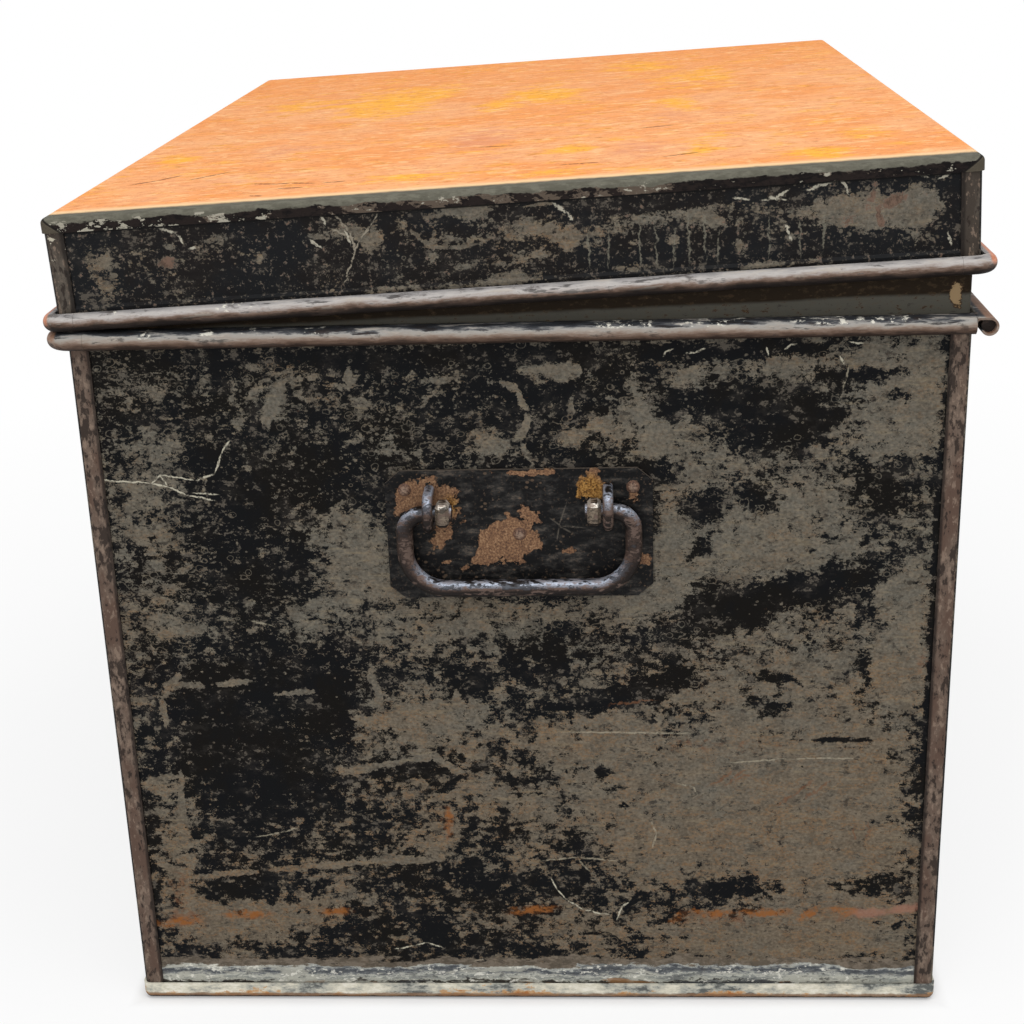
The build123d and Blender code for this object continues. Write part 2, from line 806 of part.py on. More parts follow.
# Catch inside the front of the lid
shelf_z = neck_top + catch_over_neck
catch_foot = bolt_z - catch_hole_height / 2 - catch_frame
half_catch = catch_thickness / 2
lid_inner = -lid_wall_inside
catch_plate = block(
    (catch_place - catch_plate_width / 2, catch_place + catch_plate_width / 2),
    (lid_inner, lid_inner + catch_sheet),
    (shelf_z, shelf_z + catch_plate_height),
)
shelf = block(
    (catch_place - catch_shelf_width / 2, catch_place + catch_shelf_width / 2),
    (lid_inner, catch_back),
    (shelf_z, shelf_z + catch_sheet),
)
tongue = block(
    (catch_place - half_catch, catch_place + half_catch), (catch_front, catch_back), (catch_foot, shelf_z)
)
tongue_hole = block(
    (catch_place - catch_thickness, catch_place + catch_thickness),
    (bolt_y - catch_hole / 2, bolt_y + catch_hole / 2),
    (bolt_z - catch_hole_height / 2, bolt_z + catch_hole_height / 2),
)
catch = catch_plate + shelf + tongue - tongue_hole
catch_rivets = []
catch_rivet_z = shelf_z + catch_plate_height / 2
for side in (-1, 1):
    x = catch_place + side * catch_rivet_out
    catch_rivets.append(rivet(
        (x, -lid_half_depth, catch_rivet_z), (0, -1, 0), sheet + catch_sheet,
        rivet_radius, rivet_head_radius, rivet_dome
    ))
    cut = y_bar(x, catch_rivet_z, rivet_radius + wire_gap, -lid_half_depth - sheet, catch_front)
    catch = catch - cut
    lid_front = lid_front - cut

# Write every piece
fixed_pieces = {
    "body_back_panel": back_panel,
    "body_front_panel": front_panel,
    "body_left_end": left_end,
    "bottom_panel": bottom,
    "neck_collar": neck,
    "body_wire_left": wire_left,
    "body_wire_right": other_end(wire_left),
    "body_wire_back": wire_back,
    "body_wire_front": wire_front,
    "hinge_left_body_leaf": body_leaves[0],
    "hinge_right_body_leaf": body_leaves[1],
    "hinge_left_pin": hinge_pin(hinge_places[0]),
    "hinge_right_pin": hinge_pin(hinge_places[1]),
    "hinge_body_rivets": group(body_hinge_rivets),
    "handle_left_plate": handle_plate,
    "handle_left_inner_plate": inner_plate,
    "handle_left_rivets": group(handle_rivets),
    "handle_left_staples": group(staples),
    "handle_left_bail": bail,
    "handle_left_bail_knobs": group(knobs),
    "lock_plate": lock_plate,
    "lock_cap": lock_cap,
    "lock_rivets": group(lock_rivets),
    "lock_guide_post": guide_post,
    "lock_key_post": key_post,
    "lock_bolt": bolt,
    "lock_bolt_spring": bolt_spring,
    "escutcheon": escutcheon,
    "escutcheon_pins": group(escutcheon_pins),
}
for name, shape in list(fixed_pieces.items()):
    save(shape, name)
save(other_end(left_end), "body_right_end")
save(other_end(handle_plate), "handle_right_plate")
save(other_end(inner_plate), "handle_right_inner_plate")
save(other_end(bail), "handle_right_bail")
save(group([other_end(shape) for shape in handle_rivets]), "handle_right_rivets")
save(group([other_end(shape) for shape in staples]), "handle_right_staples")
save(group([other_end(shape) for shape in knobs]), "handle_right_bail_knobs")

lid_pieces = {
    "lid_top_panel": lid_cap,
    "lid_back_panel": lid_back,
    "lid_front_panel": lid_front,
    "lid_left_end": lid_left,
    "lid_right_end": other_end(lid_left),
    "lid_wire": lid_wire,
    "lid_wire_back": lid_wire_back,
    "hinge_left_lid_leaf": lid_leaves[0],
    "hinge_right_lid_leaf": lid_leaves[1],
    "lid_catch": catch,
}
for name, shape in lid_pieces.items():
    save(open_lid(shape), name)
save(group([open_lid(shape) for shape in lid_hinge_rivets]), "hinge_lid_rivets")
save(group([open_lid(shape) for shape in catch_rivets]), "lid_catch_rivets")
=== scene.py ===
import bpy
import json
import math
from mathutils import Matrix, Vector


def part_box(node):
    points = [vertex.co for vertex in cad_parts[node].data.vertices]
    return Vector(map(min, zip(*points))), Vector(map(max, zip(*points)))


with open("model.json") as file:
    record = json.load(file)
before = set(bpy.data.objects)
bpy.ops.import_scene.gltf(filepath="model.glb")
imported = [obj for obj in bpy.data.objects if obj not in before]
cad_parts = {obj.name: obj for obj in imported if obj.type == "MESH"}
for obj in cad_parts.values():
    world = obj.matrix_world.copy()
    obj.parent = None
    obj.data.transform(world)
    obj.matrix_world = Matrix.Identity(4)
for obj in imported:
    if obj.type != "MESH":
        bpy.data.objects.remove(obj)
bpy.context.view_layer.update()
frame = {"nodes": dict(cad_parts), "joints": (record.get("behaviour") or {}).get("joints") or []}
nodes = frame["nodes"]
PER_METRE = 1000.0


def millimetres(place):
    """A place of the frame, which is in metres."""
    return tuple(value * PER_METRE for value in place)


# Places in millimetres, from the frame where it holds them. The photographed end looks to -X.
tray_x, tray_y, tray_top = millimetres(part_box("bottom_panel")[1])
end_wall = -millimetres(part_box("handle_left_plate")[1])[0]
wall_y = tray_y - 1.0
lid_step = 2.1
lid_end_wall = end_wall + lid_step
lid_wall_y = wall_y + lid_step
hinge = next(joint for joint in frame["joints"] if joint["name"] == "lid_hinge")
hinge_point = millimetres(hinge["pos_m"])
ajar_angle = 2.52
rim_z = hinge_point[2]
body_rim_foot = rim_z - 8.9
lid_rim_top = rim_z + 9.1
lid_top = rim_z + 50.0
fold_z = lid_top - 7.0

# How far outside an end the change from its wall to its wired rim starts and stops.
rim_out = (1.5, 2.0)
# Steps that a shift of one takes along the axes, through noise and through a field of dots.
NOISE_STEPS = (7.3, 3.7, 5.1)
DOT_STEPS = (5.3, 2.7, 3.1)
# Half length of a stroke as a share of the way between its points, long enough for strokes to meet.
STROKE_REACH = 0.58


def rgb(red, green, blue):
    """Linear colour from the usual 0 to 255 values."""
    def linear(value):
        value /= 255.0
        return value / 12.92 if value <= 0.04045 else ((value + 0.055) / 1.055) ** 2.4
    return (linear(red), linear(green), linear(blue))


def halfway(first, second):
    """Colour halfway between two."""
    return tuple((a + b) / 2 for a, b in zip(first, second))


class Nodes:
    """A node tree. Values are numbers, colours or sockets."""

    def __init__(self, tree):
        self.tree = tree

    def put(self, socket, value):
        if isinstance(value, bpy.types.NodeSocket):
            self.tree.links.new(value, socket)
        elif isinstance(value, tuple) and len(socket.default_value) == 4:
            socket.default_value = (*value[:3], 1.0)
        else:
            socket.default_value = value

    def split(self, vector):
        node = self.tree.nodes.new("ShaderNodeSeparateXYZ")
        self.put(node.inputs[0], vector)
        return node.outputs

    def join(self, x, y):
        node = self.tree.nodes.new("ShaderNodeCombineXYZ")
        self.put(node.inputs[0], x)
        self.put(node.inputs[1], y)
        return node.outputs[0]

    def math(self, kind, a, b=0.0, c=0.0):
        node = self.tree.nodes.new("ShaderNodeMath")
        node.operation = kind
        for socket, value in zip(node.inputs, (a, b, c)):
            self.put(socket, value)
        return node.outputs[0]

    def fold(self, kind, values):
        """One operation through all the values, from first to last."""
        total = values[0]
        for value in values[1:]:
            total = self.math(kind, total, value)
        return total

    def add(self, *values):
        return self.fold("ADD", values)

    def mul(self, *values):
        return self.fold("MULTIPLY", values)

    def most(self, *values):
        return self.fold("MAXIMUM", values)

    def sub(self, a, b):
        return self.math("SUBTRACT", a, b)

    def absolute(self, a):
        return self.math("ABSOLUTE", a)

    def swing(self, noise, strength):
        """Noise about 0.5 turned into a swing about 0."""
        return self.mul(self.sub(noise, 0.5), strength)

    def vector(self, kind, a, b=None, scale=None):
        node = self.tree.nodes.new("ShaderNodeVectorMath")
        node.operation = kind
        self.put(node.inputs[0], a)
        if b is not None:
            self.put(node.inputs[1], b)
        if scale is not None:
            self.put(node.inputs["Scale"], scale)
        return node.outputs["Value" if kind == "LENGTH" else "Vector"]

    def ramp(self, value, low, high, start=0.0, stop=1.0, smooth=True):
        """Start below low, stop above high, and a smooth or straight change between them."""
        node = self.tree.nodes.new("ShaderNodeMapRange")
        node.interpolation_type = "SMOOTHSTEP" if smooth else "LINEAR"
        for socket, item in zip(node.inputs, (value, low, high, start, stop)):
            self.put(socket, item)
        return node.outputs[0]

    def mix(self, factor, a, b):
        node = self.tree.nodes.new("ShaderNodeMix")
        node.data_type = "RGBA"
        self.put(node.inputs[0], factor)
        self.put(node.inputs[6], a)
        self.put(node.inputs[7], b)
        return node.outputs[2]

    def bands(self, value, *stops):
        """Colours along a value, each stop a place from 0 to 1 and a colour."""
        node = self.tree.nodes.new("ShaderNodeValToRGB")
        self.put(node.inputs[0], value)
        points = node.color_ramp.elements
        points[0].position, points[0].color = stops[0][0], (*stops[0][1], 1.0)
        points[1].position, points[1].color = stops[-1][0], (*stops[-1][1], 1.0)
        for place, colour in stops[1:-1]:
            points.new(place).color = (*colour, 1.0)
        return node.outputs[0]

    def seen_directly(self):
        """1 on rays from the camera and on those that a glossy or clear surface sends on."""
        path = self.tree.nodes.new("ShaderNodeLightPath")
        names = ("Is Camera Ray", "Is Glossy Ray", "Is Transmission Ray")
        return self.most(*(path.outputs[name] for name in names))


class Surface(Nodes):
    """A material. Lengths are in millimetres, and places on the lid are those of the closed lid."""

    def __init__(self, name, on_lid=False):
        self.mat = bpy.data.materials.new(name)
        self.mat.use_nodes = True
        super().__init__(self.mat.node_tree)
        self.tree.nodes.clear()
        out = self.tree.nodes.new("ShaderNodeOutputMaterial")
        self.bsdf = self.tree.nodes.new("ShaderNodeBsdfPrincipled")
        self.tree.links.new(self.bsdf.outputs[0], out.inputs[0])
        coords = self.tree.nodes.new("ShaderNodeTexCoord")
        self.place = self.vector("SCALE", coords.outputs["Object"], scale=PER_METRE)
        if on_lid:
            turn = self.tree.nodes.new("ShaderNodeVectorRotate")
            turn.rotation_type = "X_AXIS"
            turn.inputs["Center"].default_value = hinge_point
            turn.inputs["Angle"].default_value = math.radians(ajar_angle)
            self.put(turn.inputs["Vector"], self.place)
            self.place = turn.outputs[0]
        self.x, self.y, self.z = self.split(self.place)
        self.nx, self.ny, self.nz = self.split(coords.outputs["Normal"])

    def outside(self, value, wall, low, high):
        """0 up to low outside a wall and its mirror image, 1 from high outside it."""
        return self.ramp(self.absolute(value), wall + low, wall + high)

    def end_plane(self):
        """Plane of the photographed end: to the right of its middle, and up from the floor."""
        return self.join(self.mul(self.y, -1.0), self.z)

    def texture(self, kind, place, scale, move, turn=0.0, inverse=False):
        """A texture node with its own mapping."""
        node = self.tree.nodes.new(kind)
        self.put(node.inputs["Vector"], place)
        node.texture_mapping.vector_type = "TEXTURE" if inverse else "POINT"
        node.texture_mapping.scale = scale
        node.texture_mapping.translation = move
        node.texture_mapping.rotation = (0.0, 0.0, math.radians(turn))
        return node

    def cells(self, kind, size, stretch, shift, steps):
        """A texture whose cells are size across, drawn out along each axis by stretch."""
        scale = tuple(1.0 / (size * s) for s in stretch)
        node = self.texture(kind, self.place, scale, tuple(shift * step for step in steps))
        node.inputs["Scale"].default_value = 1.0
        return node

    def noise(self, size, detail, rough, stretch=(1, 1, 1), shift=0.0):
        """Noise about 0.5 whose largest cells are size across."""
        node = self.cells("ShaderNodeTexNoise", size, stretch, shift, NOISE_STEPS)
        node.inputs["Detail"].default_value = detail
        node.inputs["Roughness"].default_value = rough
        return node.outputs[0]

    def dots(self, size, share, stretch, shift, ring=None):
        """1 on scattered round spots, or on rings of this width, one to each cell.

        Share is the largest radius as a share of the cell's size.
        """
        node = self.cells("ShaderNodeTexVoronoi", size, stretch, shift, DOT_STEPS)
        chance = self.split(node.outputs["Color"])[0]
        inside = self.sub(self.mul(share, chance), node.outputs["Distance"])
        if ring:
            inside = self.sub(ring, self.absolute(inside))
        return self.ramp(inside, 0.0, 0.05)

    def mark(self, plane, middle, size, turn):
        """Oval on a plane, given by its middle and half sizes: 1 in the middle, down to 0 at its edge."""
        node = self.texture("ShaderNodeTexGradient", plane, (*size, 1.0), (*middle, 0.0), turn, True)
        node.gradient_type = "SPHERICAL"
        return node.outputs["Fac"]

    def marks(self, plane, rows, reach=1.3):
        """Sum of ovals: middle u, middle v, half width, half height, strength and, for some, a turn."""
        total = 0.0
        for u, v, wide, tall, strength, *turn in rows:
            oval = self.mark(plane, (u, v), (wide * reach, tall * reach), sum(turn))
            total = self.math("MULTIPLY_ADD", oval, strength, total)
        return total

    def strokes(self, plane, lines, width):
        """Thin tapering lines, each through a list of points."""
        total = 0.0
        for points in lines:
            for (u0, v0), (u1, v1) in zip(points, points[1:]):
                size = (math.hypot(u1 - u0, v1 - v0) * STROKE_REACH + width, width)
                turn = math.degrees(math.atan2(v1 - v0, u1 - u0))
                total = self.most(total, self.mark(plane, ((u0 + u1) / 2, (v0 + v1) / 2), size, turn))
        return total

    def shaken(self, plane, across, up):
        """A plane shaken a little by noise, so that lines drawn on it aren't straight."""
        aside = self.noise(5, 4, 0.7, shift=81)
        above = self.noise(5, 4, 0.7, shift=85)
        return self.vector("ADD", plane, self.join(self.swing(aside, across), self.swing(above, up)))

    def drawn(self, colour, plane, lines, width, ink, strength):
        """Lines drawn over a colour, broken up by fine noise."""
        line = self.ramp(self.strokes(plane, lines, width), 0.05, 0.45)
        broken = self.ramp(self.noise(2.2, 4, 0.7, shift=41), 0.34, 0.52)
        return self.mix(self.mul(line, broken, strength), colour, ink)

    def bump(self, height, distance):
        """Bump of the given height in millimetres."""
        node = self.tree.nodes.new("ShaderNodeBump")
        node.inputs["Strength"].default_value = 1.0
        node.inputs["Distance"].default_value = distance / PER_METRE
        self.put(node.inputs["Height"], height)
        return node.outputs[0]

    def finish(self, colour, rough, normal, metal=0.0, specular=0.5):
        self.put(self.bsdf.inputs["Base Color"], colour)
        self.put(self.bsdf.inputs["Roughness"], rough)
        self.put(self.bsdf.inputs["Metallic"], metal)
        self.bsdf.inputs["Specular IOR Level"].default_value = specular
        self.put(self.bsdf.inputs["Normal"], normal)
        return self.mat


def tin(s, warmth=0.0):
    """Bare tinned iron, grey-olive, browner where warmth is high, clouded, veined and pitted."""
    broad = s.noise(26, 5, 0.65, (1, 1.4, 0.8), 3)
    fine = s.noise(3.4, 6, 0.75, (1, 1.6, 0.9), 4)
    value = s.add(s.swing(broad, 5.0), s.swing(fine, 3.0), warmth)
    colour = s.mix(s.ramp(value, -1.4, 1.4), rgb(90, 87, 79), rgb(97, 86, 72))
    cloud = s.noise(8, 6, 0.74, (1, 1.3, 0.9), 7)
    colour = s.mix(s.ramp(cloud, 0.50, 0.62, 0.0, 0.4), colour, rgb(112, 101, 86))
    colour = s.mix(s.ramp(cloud, 0.38, 0.50, 0.45, 0.0), colour, rgb(72, 65, 56))
    sand = s.noise(1.3, 3, 0.62, (1, 1.3, 1), 5)
    colour = s.mix(s.ramp(sand, 0.50, 0.68, 0.0, 0.4), colour, rgb(124, 114, 98))
    colour = s.mix(s.ramp(sand, 0.34, 0.50, 0.5, 0.0), colour, rgb(60, 53, 46))
    vein = s.absolute(s.sub(s.noise(7, 5, 0.72, (1, 2.2, 1), 6), 0.5))
    veined = s.mul(s.ramp(vein, 0.004, 0.022, 0.7, 0.0), s.ramp(value, -0.9, 0.9, 0.1, 0.8))
    colour = s.mix(veined, colour, rgb(122, 91, 60))
    streak = s.noise(3.2, 4, 0.6, (1, 5, 0.6), 8)
    colour = s.mix(s.ramp(streak, 0.57, 0.66, 0.0, 0.25), colour, rgb(130, 116, 92))
    return s.mix(s.ramp(fine, 0.38, 0.43, 0.75, 0.0), colour, rgb(46, 41, 36))


def rusted(s, colour, amount, shift):
    """Orange-brown rust stains over a colour; amount moves them up."""
    broad = s.noise(12, 7, 0.72, (1, 1.6, 0.7), 21 + shift)
    value = s.add(s.swing(broad, 7.0), amount)
    return s.mix(s.ramp(value, 0.5, 2.0, 0.0, 0.8), colour, rgb(118, 75, 44))


def japan(s, cool=rgb(10, 11, 13), warm=rgb(13, 11, 9)):
    """Old black japanning, near black with blue and brown casts, a faint haze and pale specks."""
    cast = s.noise(34, 4, 0.6, shift=9)
    colour = s.mix(s.ramp(cast, 0.42, 0.60), cool, warm)
    haze = s.noise(10, 6, 0.75, (1, 1.6, 0.9), 10)
    colour = s.mix(s.ramp(haze, 0.50, 0.66, 0.0, 0.4), colour, rgb(44, 41, 38))
    speck = s.add(s.noise(2.8, 5, 0.7, (1, 1.3, 1), 11), s.swing(haze, 0.7))
    return s.mix(s.ramp(speck, 0.60, 0.65, 0.0, 0.75), colour, rgb(84, 78, 70))


def lost_paint(s, bias, shift, crisp=0.13):
    """1 where the paint is gone, in patches, spots and rings. Bias makes it more or less bare."""
    broad = s.noise(24, 4, 0.6, (1, 1.3, 0.8), shift)
    ragged = s.noise(6.5, 8, 0.79, (1, 1.15, 0.95), shift + 1)
    streak = s.noise(2.4, 4, 0.65, (1, 7, 0.8), shift + 2)
    value = s.add(s.swing(broad, 4.0), s.swing(ragged, 12.0), s.swing(streak, 2.6))
    bare = s.ramp(s.add(value, bias), -crisp, crisp)
    clouds = s.noise(17, 4, 0.6, shift=shift + 3)
    cluster = s.add(s.swing(clouds, 4.0), s.ramp(s.z, 90, 240, -0.8, 0.0), s.mul(bias, 0.5), 0.35)
    large = s.dots(5.0, s.ramp(cluster, -0.5, 0.8, 0.0, 0.5), (1, 1.2, 0.9), shift + 4)
    tiny = s.dots(2.7, s.ramp(cluster, -0.9, 0.9, 0.15, 0.55), (1, 1.1, 0.9), shift + 6)
    rings = s.dots(6.0, s.ramp(cluster, -0.6, 0.6, 0.1, 0.5), (1, 1.1, 0.9), shift + 8, 0.05)
    crumb = s.noise(2.6, 5, 0.75, (1, 1.5, 0.9), shift + 5)
    small = s.ramp(s.add(s.swing(crumb, 9.0), s.mul(cluster, 0.7), s.mul(bias, 0.15)), 0.6, 0.85)
    return s.most(bare, s.mul(large, 0.85), s.mul(small, 0.8), s.mul(s.most(tiny, rings), 0.75))


def painted(s, colour, bare, specular):
    """Finish of painted tin: duller where it is bare, and finely uneven."""
    rough = s.ramp(bare, 0, 1, 0.5, 0.65, smooth=False)
    relief = s.add(s.noise(1.2, 3, 0.6, shift=61), s.noise(7, 4, 0.6, (1, 1.4, 1), 62))
    return s.finish(colour, rough, s.bump(relief, 0.12), specular=specular)


# Patches on the photographed end: millimetres to the right of its middle and up from the floor, half width,
# half height, how far they move the wear, up to bare tin or down to black paint, and a turn for some.
END_BARE = [
    (100, 114, 67, 48, 3.0), (121, 258, 36, 29, 1.9), (164, 303, 24, 20, 1.8), (178, 193, 15, 42, 2.0),
    (130, 178, 51, 26, 2.0), (156, 78, 43, 34, 2.4), (118, 38, 89, 19, 1.6), (70, 249, 9, 30, 1.8),
    (55, 217, 23, 10, 2.2, 5), (-20, 211, 40, 14, 1.5), (-76, 241, 18, 26, 2.4), (-76, 198, 17, 15, 0.4),
    (-176, 211, 20, 19, 0.9), (-39, 157, 36, 19, 1.8), (35, 144, 29, 18, 2.0), (-14, 104, 54, 28, 1.1),
    (-170, 277, 23, 50, 0.8), (-14, 298, 10, 7, 2.8, -27), (-36, 326, 12, 6, 1.8), (15, 330, 13, 5, 2.6),
    (25, 299, 7, 6, 2.2), (57, 311, 6, 7, 2.0), (64, 297, 14, 7, 2.0, 25), (75, 326, 8, 6, 1.4),
    (-109, 317, 4, 11, 2.8, -27), (84, 318, 16, 10, 0.9), (110, 330, 27, 6, 1.6), (160, 335, 22, 7, 2.0),
    (181, 316, 10, 23, 1.6), (-174, 90, 12, 50, 1.7), (-150, 44, 36, 14, 1.6), (-90, 76, 35, 8, 1.2, 4),
    (82, 290, 14, 19, 1.6), (96, 239, 41, 12, 1.6), (176, 223, 14, 15, 1.4), (162, 132, 27, 24, 1.8),
    (168, 32, 25, 10, 2.2), (110, 34, 40, 12, 1.2), (-120, 48, 60, 20, 0.9), (-60, 88, 60, 9, 0.5),
    (-80, 140, 26, 30, 0.8), (8, 146, 20, 14, 1.0), (-100, 211, 18, 16, 0.9), (51, 304, 16, 18, 1.0),
    (52, 82, 22, 20, 1.8), (12, 118, 18, 14, 0.6), (22, 184, 30, 10, 0.6), (-10, 42, 50, 14, 1.0),
    (-145, 84, 24, 14, 0.6), (-12, 80, 32, 14, 0.8), (-31, 47, 19, 14, 0.8), (-105, 148, 16, 16, 0.6),
    (160, 240, 16, 16, 0.6), (124, 209, 16, 12, 0.5),
]
# The two long rows at height 338 darken a band just under the rim.
END_BLACK = [
    (-137, 151, 42, 47, -2.7), (0, 312, 52, 26, -1.1), (-128, 242, 33, 32, -0.9), (-97, 121, 30, 16, -0.8),
    (-100, 282, 41, 24, -1.2), (-73, 338, 120, 6, -1.6), (120, 306, 29, 13, -3.0),
    (84, 265, 11, 7, -2.4, 10), (124, 223, 53, 8, -2.7, 14), (-128, 324, 17, 14, -0.5),
    (94, 213, 22, 9, -2.6, 10), (165, 272, 13, 18, -1.1), (58, 173, 26, 7, -2.7, 15),
    (24, 166, 14, 7, -1.4), (-27, 175, 13, 9, -2.4, -11), (11, 185, 22, 10, -1.8, 8),
    (118, 178, 16, 5, -2.2, 5), (35, 130, 4, 4, -3.2), (-23, 84, 17, 24, -1.7), (4, 66, 20, 8, -1.5),
    (-52, 41, 55, 15, -1.3), (-138, 70, 35, 15, -1.2), (191, 223, 3, 126, -2.6), (166, 66, 18, 6, -3.2),
    (92, 66, 26, 7, -1.6), (148, 326, 17, 4, -1.6), (97, 315, 11, 9, -1.4, 61), (32, 260, 32, 30, -0.5),
    (82, 243, 11, 7, -2.0, 31), (-52, 132, 24, 5, -1.6), (-94, 169, 12, 32, -1.6), (172, 314, 9, 4, -1.2),
    (17, 200, 12, 7, -1.4, 32), (195, 75, 5, 23, -1.4), (115, 163, 11, 6, -3.0), (159, 185, 5, 5, -3.0),
    (148, 146, 20, 1.4, -3.0), (92, 338, 54, 4, -2.2), (77, 315, 17, 10, -1.3), (108, 268, 10, 8, -1.8),
]
# Lines on the photographed end, each a list of points (u, v) in millimetres.
END_SCRAPES = [
    [(-170, 132), (-172, 98), (-171, 87)], [(-169, 178), (-153, 177)], [(-148, 178), (-130, 179)],
    [(-166, 183), (-175, 170), (-174, 157)], [(-122, 172), (-98, 174)], [(-186, 125), (-173, 128)],
    [(-169, 71), (-134, 75), (-73, 80), (-45, 81)], [(-90, 130), (-57, 136), (-45, 138), (-32, 129)],
    [(-47, 114), (-30, 120), (-17, 118), (-13, 114)], [(-5, 325), (1, 321), (4, 313)],
    [(5, 309), (4, 303), (0, 299)], [(-104, 326), (-110, 319), (-113, 306)], [(25, 316), (25, 311)],
    [(3, 295), (6, 288)], [(-74, 333), (-75, 325)], [(-73, 185), (-70, 167)], [(-33, 174), (-31, 160)],
    [(-26, 169), (-24, 162)],
]
END_PALE_SCRATCHES = [
    [(-136, 94), (-121, 97), (-115, 99)], [(5, 80), (24, 82), (44, 80)],
    [(95, 134), (126, 136), (159, 136)], [(60, 102), (62, 95), (60, 87)], [(72, 123), (80, 121), (82, 117)],
    [(24, 81), (29, 74)], [(145, 319), (147, 330)], [(16, 151), (83, 150)], [(-129, 211), (-118, 208)],
]
END_CREAM_LINES = [
    [(-195, 282), (-169, 280), (-161, 278), (-153, 274), (-140, 271)],
    [(-169, 280), (-164, 284), (-148, 281), (-139, 284), (-135, 294), (-131, 300)],
    [(-164, 284), (-162, 279)], [(-150, 275), (-138, 274)], [(-197, 311), (-191, 293)],
    [(10, 70), (13, 64), (17, 58), (26, 52), (39, 49)], [(42, 46), (45, 54), (48, 56)],
    [(66, 336), (67, 338), (70, 339)], [(76, 337), (80, 337), (84, 339)], [(111, 339), (112, 336)],
    [(119, 338), (122, 340), (124, 340)], [(143, 334), (145, 331)], [(147, 341), (153, 340)],
    [(-70, 29), (-60, 31), (-54, 33), (-46, 30)], [(-32, 22), (-25, 23)],
]
END_RUST_LINES = [
    [(70, 46), (76, 50), (100, 50), (128, 51)], [(134, 47), (141, 52)], [(147, 52), (162, 50)],
    [(-12, 51), (14, 53)], [(-192, 44), (-166, 47)], [(-156, 49), (-132, 50)], [(-104, 51), (-92, 51)],
    [(-40, 108), (-39, 96)],
]
END_STAINS = [
    (-176, 46, 17, 6, 1.3), (-176, 64, 10, 18, 1.0), (-143, 49, 15, 5, 1.0), (-98, 51, 9, 4, 0.9),
    (1, 52, 15, 4, 1.0), (98, 47, 34, 7, 1.0), (150, 49, 14, 5, 1.0), (-40, 102, 5, 12, 1.0),
    (75, 146, 30, 9, 0.7), (118, 140, 34, 7, 0.6), (186, 188, 6, 10, 0.9),
]
END_SALMON_LINES = [
    [(158, 50), (176, 51), (193, 54)],
]
END_BROWN_LINES = [
    [(88, 121), (100, 130)], [(94, 121), (106, 131)], [(99, 124), (108, 127)], [(128, 115), (137, 124)],
    [(133, 114), (142, 121)], [(138, 118), (146, 124)], [(120, 111), (128, 116)], [(158, 100), (158, 92)],
    [(164, 101), (164, 93)], [(-39, 112), (-40, 90)], [(40, 165), (62, 168)],
]

# The same on the lid's photographed end, in millimetres of the closed lid.
LID_BARE = [
    (-178, 384, 8, 5, 2.2), (-177, 372, 7, 11, 2.2), (-162, 385, 8, 2, 2.0, 10), (-148, 387, 6, 2, 1.4, 8),
    (-158, 375, 2, 6, 1.8, 20), (-126, 388, 4, 4, 2.6), (-109, 379, 4, 4, 2.6), (-82, 387, 9, 3, 1.8, 10),
    (-70, 388, 6, 6, 2.4), (-59, 385, 8, 6, 3.2, -25), (-20, 394, 17, 3, 2.6, 6), (-12, 392, 9, 5, 2.8),
    (-44, 388, 4, 6, 2.0), (-25, 382, 20, 3, 1.6), (10, 384, 24, 7, 2.2), (28, 378, 8, 5, 3.2),
    (8, 372, 16, 4, 2.6, 5), (-33, 375, 4, 4, 2.8, 25), (-20, 370, 6, 2, 2.6, 20), (2, 364, 12, 3, 2.4),
    (56, 384, 22, 4, 1.9, 8), (52, 364, 14, 2, 1.8), (88, 384, 24, 6, 2.0), (120, 378, 12, 8, 1.5),
    (72, 375, 4, 3, 3.2), (100, 371, 4, 4, 3.0), (154, 383, 27, 9, 4.4), (176, 379, 8, 13, 3.2),
    (108, 362, 26, 2, 2.0, 4), (-40, 362, 60, 2, 1.6),
]
LID_BLACK = [
    (-191, 380, 5, 16, -2.4), (-97, 379, 14, 19, -1.2), (-122, 371, 22, 9, -1.2), (70, 393, 42, 4, -2.4, 2),
    (66, 369, 26, 4, -1.2), (191, 380, 4, 19, -4.0), (134, 368, 30, 4, -1.8), (-150, 393, 60, 3, -1.8),
]
LID_SCRAPES = [
    [(-46, 396), (-32, 398), (-24, 396)], [(-41, 387), (-36, 381), (-26, 378), (-16, 379)],
    [(8, 394), (22, 395)], [(157, 393), (160, 385), (158, 376)],
]
LID_DRIPS = [
    [(35, 383), (35, 364)], [(44, 382), (43, 364)], [(57, 386), (57, 363)], [(64, 383), (64, 363)],
    [(72, 382), (71, 363)], [(78, 389), (78, 364)], [(85, 388), (85, 364)], [(91, 379), (90, 364)],
    [(112, 383), (112, 364)], [(125, 381), (125, 364)], [(136, 385), (135, 365)],
]
LID_FINE_LINES = [
    [(-52, 399), (-57, 392), (-64, 384), (-69, 375), (-72, 366)], [(-73, 396), (-68, 388), (-66, 381)],
    [(-76, 390), (-66, 385)],
]
LID_CREAM_LINES = [
    [(21, 395), (27, 389), (29, 387)], [(-80, 396), (-78, 392)], [(-85, 386), (-81, 382)],
    [(-70, 389), (-68, 383)], [(98, 392), (104, 391)], [(110, 390), (116, 391), (121, 394)],
    [(128, 393), (140, 396), (145, 398)], [(143, 398), (146, 390)], [(114, 391), (119, 390)],
    [(120, 379), (122, 372)], [(188, 371), (189, 366)], [(184, 394), (192, 398)], [(179, 395), (174, 397)],
    [(-138, 386), (-135, 386)], [(-150, 395), (-143, 392), (-141, 388)],
]
LID_RUST_BLOBS = [
    (165, 386, 6, 3, 1.4, 24), (159, 379, 2, 6, 1.2, 12), (156, 389, 2, 6, 0.9, -20),
    (146, 379, 5, 2, 0.8, 40), (-150, 380, 5, 3, 1.2),
]


